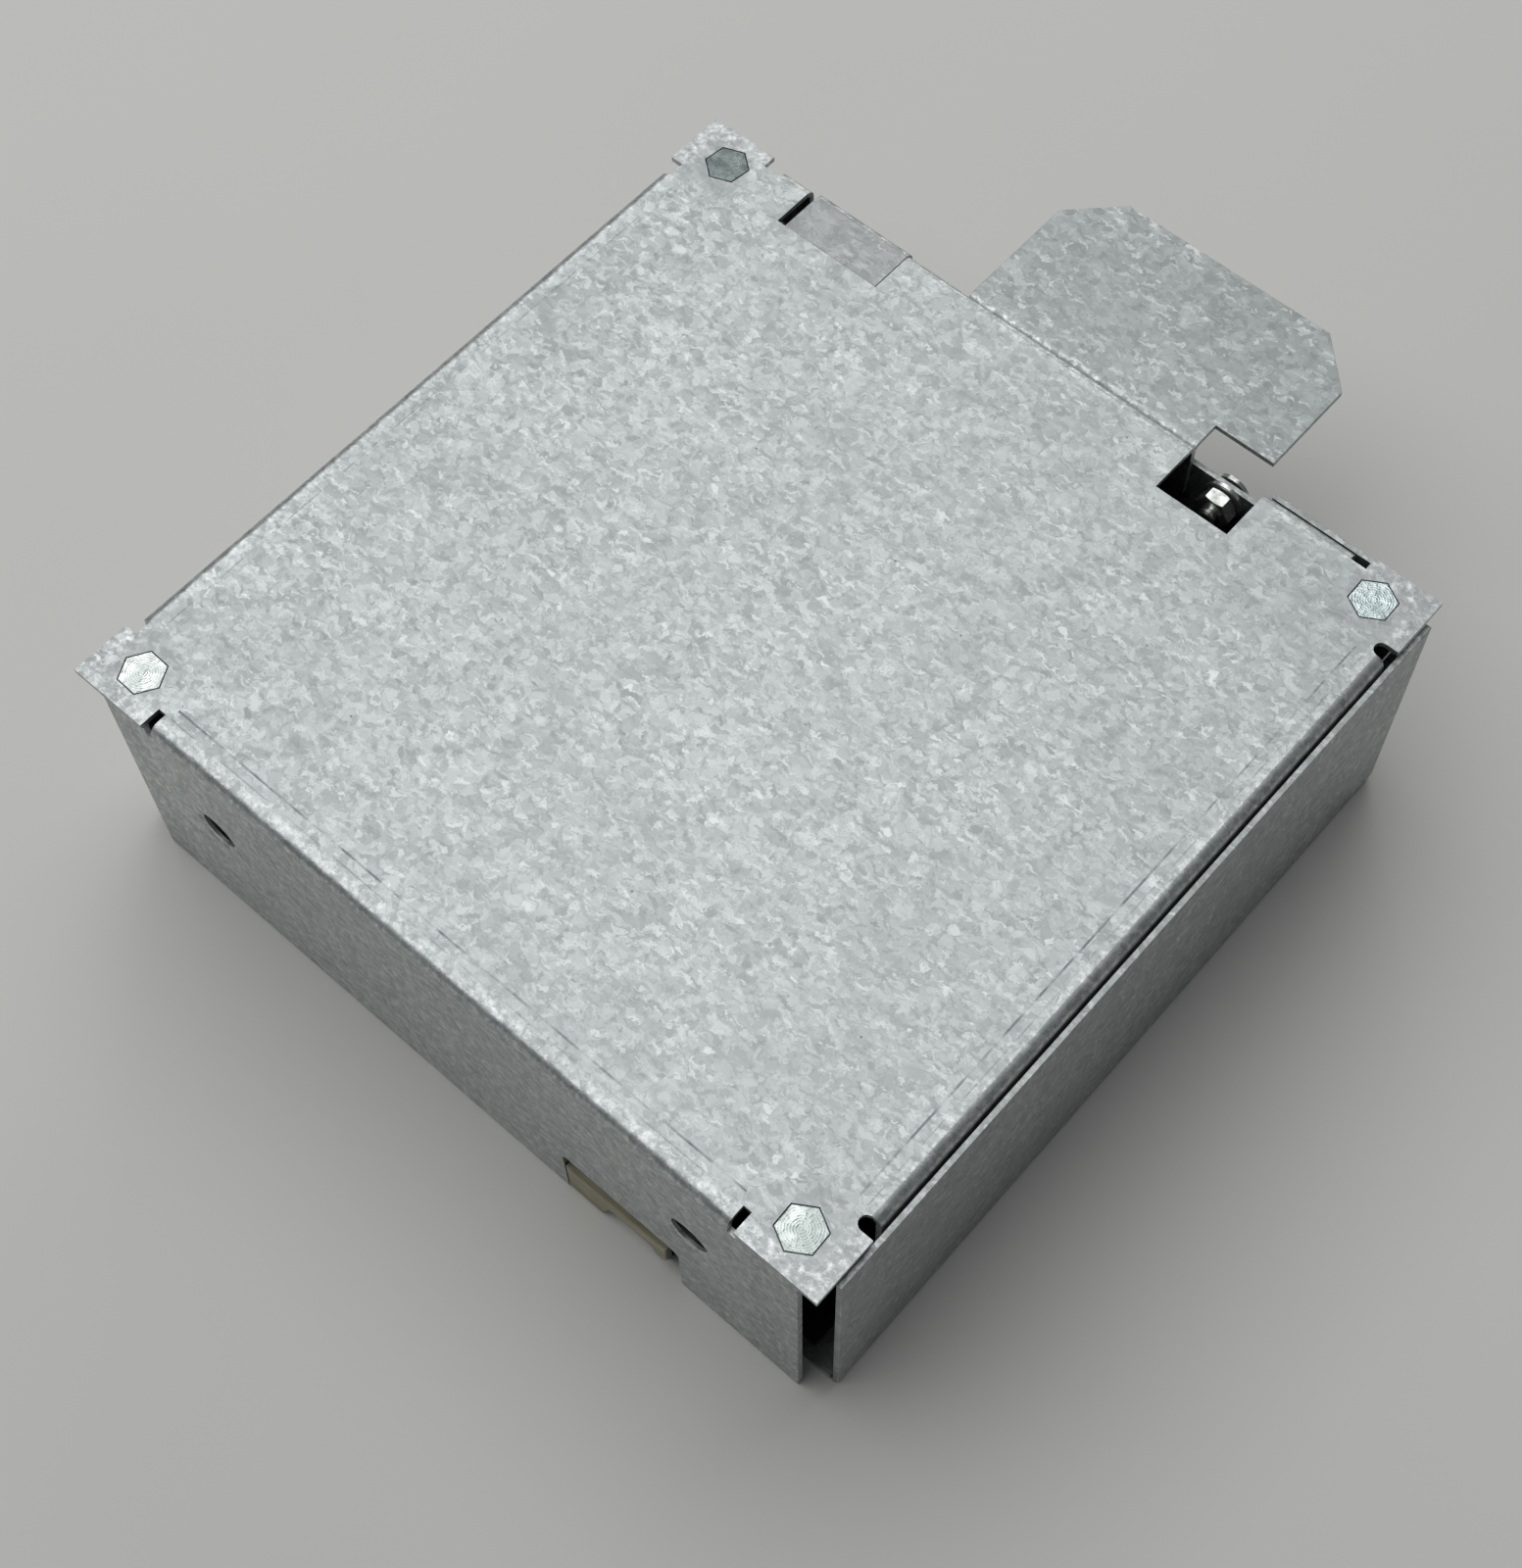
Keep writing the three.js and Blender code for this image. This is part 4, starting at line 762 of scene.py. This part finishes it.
class BOX_OT_clinch_nuts(bpy.types.Operator):
    """Two round clinch nuts behind the lid's screw holes"""
    bl_idname = "junction_box.clinch_nuts"
    bl_label = "Clinch nuts"

    def execute(self, context):
        tree, size = fastener_tree("clinch_nut", Pilot_radius=3 * MM, Flange_radius=4.8 * MM, Bore_radius=2.2 * MM,
                                   Pilot_length=1.4 * MM, Length=5.1 * MM)
        front = add(tree, "ShaderNodeMath", {0: size["Pilot length"], 1: -1.0}, operation="MULTIPLY").outputs[0]
        back = add(tree, "ShaderNodeMath", {0: size["Length"], 1: -1.0}, operation="MULTIPLY").outputs[0]
        edge = add(tree, "ShaderNodeMath", {0: back, 1: 0.4 * MM}, operation="ADD").outputs[0]
        slim = add(tree, "ShaderNodeMath", {0: size["Flange radius"], 1: -0.6 * MM}, operation="ADD").outputs[0]
        mouth = add(tree, "ShaderNodeMath", {0: size["Bore radius"], 1: 0.3 * MM}, operation="ADD").outputs[0]
        collar = turn_up(tree, [
            (size["Bore radius"], edge), (mouth, back), (slim, back), (size["Flange radius"], edge),
            (size["Flange radius"], front), (size["Pilot radius"], front), (size["Pilot radius"], -0.1 * MM),
            (mouth, -0.1 * MM), (size["Bore radius"], -0.35 * MM), (size["Bore radius"], edge)], 40)
        put_out(tree, size["Points"], [collar], turned_zinc("turned_zinc_nuts", "AAB0B0", "C9CFCF"))
        nodes = ["clinch_nut_" + side for side in SIDES]
        nuts = grown("clinch_nuts", tree, [(end_spot(node, 1, False), TO_FRONT) for node in nodes])
        hand_over(nuts, "body", "zinc_plated_steel", *nodes)
        return {"FINISHED"}


class BOX_OT_rivets(bpy.types.Operator):
    """Four nylon push rivets that hold the liner"""
    bl_idname = "junction_box.rivets"
    bl_label = "Liner rivets"

    def execute(self, context):
        tree, size = fastener_tree("push_rivet", Shank_radius=2.5 * MM, Head_radius=4.5 * MM, Pin_radius=1.8 * MM,
                                   Length=3.8 * MM, Head_height=1.2 * MM)
        foot = add(tree, "ShaderNodeMath", {0: size["Length"], 1: -1.0}, operation="MULTIPLY").outputs[0]
        seat = add(tree, "ShaderNodeMath", {0: size["Head height"], 1: -1.0}, operation="MULTIPLY").outputs[0]
        slim = add(tree, "ShaderNodeMath", {0: size["Shank radius"], 1: 0.82}, operation="MULTIPLY").outputs[0]
        taper = add(tree, "ShaderNodeMath", {0: foot, 1: 0.5 * MM}, operation="ADD").outputs[0]
        rim = add(tree, "ShaderNodeMath", {0: size["Head radius"], 1: -0.2 * MM}, operation="ADD").outputs[0]
        dome = add(tree, "ShaderNodeMath", {0: size["Head radius"], 1: 0.72}, operation="MULTIPLY").outputs[0]
        inner = add(tree, "ShaderNodeMath", {0: size["Pin radius"], 1: 0.25 * MM}, operation="ADD").outputs[0]
        peg = turn_up(tree, [
            (0.0, foot), (slim, foot), (size["Shank radius"], taper), (size["Shank radius"], seat),
            (size["Head radius"], seat), (size["Head radius"], -0.9 * MM), (rim, -0.5 * MM), (dome, -0.08 * MM),
            (inner, 0.0), (inner, -0.4 * MM), (size["Pin radius"], -0.4 * MM), (size["Pin radius"], -0.1 * MM),
            (0.0, -0.05 * MM)], 36)
        put_out(tree, size["Points"], [peg], moulded_nylon("moulded_nylon_rivets", "BDB7A4", "D6D1C0", 0.08))
        nodes = ["liner_rivet_" + corner for corner in CORNERS]
        rivets = grown("liner_rivets", tree, [(end_spot(node, 2, True), UP) for node in nodes])
        hand_over(rivets, "body", "rivet_nylon", *nodes)
        return {"FINISHED"}


class BOX_OT_earth_screw(bpy.types.Operator):
    """Earth screw, washer and nut on the back wall"""
    bl_idname = "junction_box.earth_screw"
    bl_label = "Earth screw"

    def execute(self, context):
        head_height = 2.1 * MM
        seat = end_spot("earth_screw", 1, True, head_height)
        length = seat.y - Vector(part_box("earth_screw")[0]).y
        screw = grown("earth_screw_threaded", screw_tree(), [(seat, TO_BACK)], Head_radius=4 * MM,
                      Rim_height=0.9 * MM, Crown_radius=2.6 * MM, Head_height=head_height, Length=length,
                      Thread_start=length - 0.3 * MM, Thread_length=length - 1.4 * MM, Slot_length=4.4 * MM,
                      Cross_length=4.4 * MM)
        hand_over(screw, "body", "screw_steel", "earth_screw")
        washer = grown("earth_washer_stamped", washer_tree(), [(end_spot("earth_washer", 1, True), TO_FRONT)],
                       Hole_radius=2.3 * MM, Outer_radius=4.4 * MM, Thickness=1 * MM)
        hand_over(washer, "body", "screw_steel", "earth_washer")
        nut = grown("earth_nut_chamfered", nut_tree(), [(end_spot("earth_nut", 1, True), TO_FRONT)])
        hand_over(nut, "body", "screw_steel", "earth_nut")
        return {"FINISHED"}


class BOX_OT_board(bpy.types.Operator):
    """Laminate terminal board with its four washers and screws"""
    bl_idname = "junction_box.board"
    bl_label = "Terminal board"

    def execute(self, context):
        settings = context.scene.junction_box.mouldings
        board = shell_copy("terminal_board_laminate", ["terminal_board"], settings.board_radius, 1.75 * MM)
        paint(board, glass_epoxy("black_solder_resist_board", "141817", "222827", 0.36), sawn_laminate())
        hand_over(board, "lid", "board_laminate", "terminal_board")
        washers = ["board_washer_" + corner for corner in CORNERS]
        rings = grown("board_washers", washer_tree(), [(end_spot(node, 2, True), DOWN) for node in washers])
        hand_over(rings, "lid", "screw_steel", *washers)
        screws = ["board_screw_" + corner for corner in CORNERS]
        low, high = (Vector(corner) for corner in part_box(screws[0]))
        length = high.z - low.z - 2.6 * MM
        pins = grown("board_screws", screw_tree(), [(end_spot(node, 2, False, 2.6 * MM), DOWN) for node in screws],
                     Length=length, Thread_start=length - 0.3 * MM, Thread_length=length - 3 * MM)
        hand_over(pins, "lid", "screw_steel", *screws)
        return {"FINISHED"}


class BOX_OT_terminal_block(bpy.types.Operator):
    """Five-pole terminal block: housing, brass bars, clamp screws and its fixings"""
    bl_idname = "junction_box.terminal_block"
    bl_label = "Terminal block"

    def execute(self, context):
        settings = context.scene.junction_box.mouldings
        housing = shell_copy("terminal_housing_moulded", ["terminal_housing"], settings.block_radius)
        paint(housing, moulded_polyamide())
        hand_over(housing, "lid", "housing_polyamide", "terminal_housing")
        bars = [f"terminal_bar_{pole}" for pole in POLES]
        brass = shell_copy("terminal_bars_milled", bars, 0.12 * MM)
        paint(brass, milled_brass())
        hand_over(brass, "lid", "brass", *bars)
        clamps = [f"clamp_screw_{pole}_{end}" for pole in POLES for end in ("front", "back")]
        low, high = (Vector(corner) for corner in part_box(clamps[0]))
        length = high.z - low.z - 2.8 * MM
        pins = grown("clamp_screws", screw_tree(), [(end_spot(node, 2, False, 2.8 * MM), DOWN) for node in clamps],
                     Head_radius=2.6 * MM, Rim_height=2.4 * MM, Crown_radius=2.3 * MM, Head_height=2.8 * MM,
                     Shank_radius=1.3 * MM, Tip_radius=1.1 * MM, Length=length, Thread_start=length - 0.2 * MM,
                     Thread_length=length - 0.4 * MM, Thread_pitch=0.5 * MM, Slot_length=6 * MM,
                     Cross_length=0.8 * MM, Slot_width=0.8 * MM, Slot_depth=1.2 * MM)
        hand_over(pins, "lid", "screw_steel", *clamps)
        screws = ["block_screw_" + side for side in SIDES]
        low, high = (Vector(corner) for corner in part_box(screws[0]))
        length = high.z - low.z - 2.2 * MM
        pins = grown("block_screws", screw_tree(), [(end_spot(node, 2, False, 2.2 * MM), DOWN) for node in screws],
                     Head_radius=3 * MM, Rim_height=0.8 * MM, Crown_radius=1.9 * MM, Head_height=2.2 * MM,
                     Shank_radius=1.3 * MM, Tip_radius=1.1 * MM, Length=length, Thread_start=length - 0.2 * MM,
                     Thread_length=length - 2 * MM, Thread_pitch=0.5 * MM, Slot_length=3.4 * MM,
                     Cross_length=3.4 * MM, Slot_width=0.7 * MM, Slot_depth=1 * MM)
        hand_over(pins, "lid", "screw_steel", *screws)
        nuts = ["block_nut_" + side for side in SIDES]
        rings = grown("block_nuts", nut_tree(), [(end_spot(node, 2, False), UP) for node in nuts],
                      Corner_radius=5.5 / math.sqrt(3) * MM, Face_radius=2.6 * MM, Thickness=2.4 * MM,
                      Chamfer=0.3 * MM, Bore_radius=1.8 * MM)
        hand_over(rings, "lid", "screw_steel", *nuts)
        return {"FINISHED"}


class BOX_OT_liner(bpy.types.Operator):
    """Insulating laminate liner on the back panel"""
    bl_idname = "junction_box.liner"
    bl_label = "Liner"

    def execute(self, context):
        settings = context.scene.junction_box.mouldings
        liner = shell_copy("insulating_liner_laminate", ["insulating_liner"], settings.board_radius, 1.1 * MM)
        paint(liner, glass_epoxy("dark_glass_epoxy_liner", "1D1D19", "2C2B25", 0.5), sawn_laminate())
        hand_over(liner, "body", "liner_laminate", "insulating_liner")
        return {"FINISHED"}


class BOX_OT_cable_trim(bpy.types.Operator):
    """Nylon edge trim over the tongue in the cable opening"""
    bl_idname = "junction_box.cable_trim"
    bl_label = "Cable edge trim"

    def execute(self, context):
        settings = context.scene.junction_box.mouldings
        trim = shell_copy("cable_edge_trim_nylon", ["cable_edge_trim"], settings.trim_radius, segments=3)
        paint(trim, moulded_nylon("moulded_nylon_trim", "8C866A", "AAA58D", 0.05))
        hand_over(trim, "body", "trim_nylon", "cable_edge_trim")
        return {"FINISHED"}


class BOX_OT_stage(bpy.types.Operator):
    """Pale floor, soft overhead light and the camera"""
    bl_idname = "junction_box.stage"
    bl_label = "Stage"

    def execute(self, context):
        settings = context.scene.junction_box.stage
        scene = context.scene
        scene.view_settings.view_transform = "Standard"
        half = 4.0  # metres
        floor_mesh = bpy.data.meshes.new("floor")
        floor_mesh.from_pydata([(-half, -half, 0), (half, -half, 0), (half, half, 0), (-half, half, 0)], [],
                               [(0, 1, 2, 3)])
        floor = new_object("floor", floor_mesh)
        paint(floor, matt_floor(settings.floor_colour))

        camera_data = bpy.data.cameras.new("camera")
        camera_data.lens = settings.lens
        camera_data.clip_start = 0.01
        camera = bpy.data.objects.new("camera", camera_data)
        right = Vector((0.74806, 0.66347, -0.01488))
        up = Vector((-0.57972, 0.66422, 0.47195))
        back = right.cross(up).normalized()
        turn = Matrix((right, back.cross(right).normalized(), back)).transposed()
        camera.matrix_world = Matrix.Translation((0.16686, -0.17897, 0.46039)) @ turn.to_4x4()
        scene.collection.objects.link(camera)
        scene.camera = camera

        key_data = bpy.data.lights.new("softbox", "AREA")
        key_data.shape = "RECTANGLE"
        key_data.size, key_data.size_y = 2.4, 1.7
        key_data.energy = settings.key_power
        key = bpy.data.objects.new("softbox", key_data)
        spot = Vector((-0.55, 0.07, 1.5))
        key.matrix_world = Matrix.Translation(spot) @ spot.to_track_quat("Z", "Y").to_matrix().to_4x4()
        scene.collection.objects.link(key)

        back_data = bpy.data.lights.new("back_panel", "AREA")
        back_data.shape = "RECTANGLE"
        back_data.size, back_data.size_y = 1.8, 1.0
        back_data.energy = settings.back_power
        back_light = bpy.data.objects.new("back_panel", back_data)
        spot = Vector((-1.2, 2.4, 0.9))
        back_light.matrix_world = Matrix.Translation(spot) @ spot.to_track_quat("Z", "Y").to_matrix().to_4x4()
        scene.collection.objects.link(back_light)

        world = bpy.data.worlds.new("even_light")
        world.use_nodes = True
        world.node_tree.nodes["Background"].inputs["Color"].default_value = linear("EEF1F4")
        world.node_tree.nodes["Background"].inputs["Strength"].default_value = settings.sky
        scene.world = world
        return {"FINISHED"}


class BOX_PT_panel(bpy.types.Panel):
    """Lists the pieces of the junction box"""
    bl_idname = "BOX_PT_panel"
    bl_label = "Junction Box"
    bl_space_type = "VIEW_3D"
    bl_region_type = "UI"
    bl_category = "Junction Box"

    def draw(self, context):
        settings = context.scene.junction_box
        for group in (settings.sheet, settings.fasteners, settings.mouldings, settings.stage):
            box = self.layout.box()
            for name in group.__annotations__:
                box.prop(group, name)
        for operator in OPERATORS:
            self.layout.operator(operator.bl_idname)


OPERATORS = (BOX_OT_stage, BOX_OT_lid_sheet, BOX_OT_body_sheet, BOX_OT_standoffs, BOX_OT_clinch_nuts, BOX_OT_rivets,
             BOX_OT_earth_screw, BOX_OT_board, BOX_OT_terminal_block, BOX_OT_liner, BOX_OT_cable_trim)
CLASSES = (SheetSettings, FastenerSettings, MouldingSettings, StageSettings, BoxSettings) + OPERATORS + (
    BOX_PT_panel,)


def register():
    for kind in CLASSES:
        bpy.utils.register_class(kind)
    bpy.types.Scene.junction_box = PointerProperty(type=BoxSettings)


def unregister():
    del bpy.types.Scene.junction_box
    for kind in reversed(CLASSES):
        bpy.utils.unregister_class(kind)


def main():
    register()
    for operator in OPERATORS:
        area, name = operator.bl_idname.split(".")
        getattr(getattr(bpy.ops, area), name)()


if __name__ == "__main__":
    main()
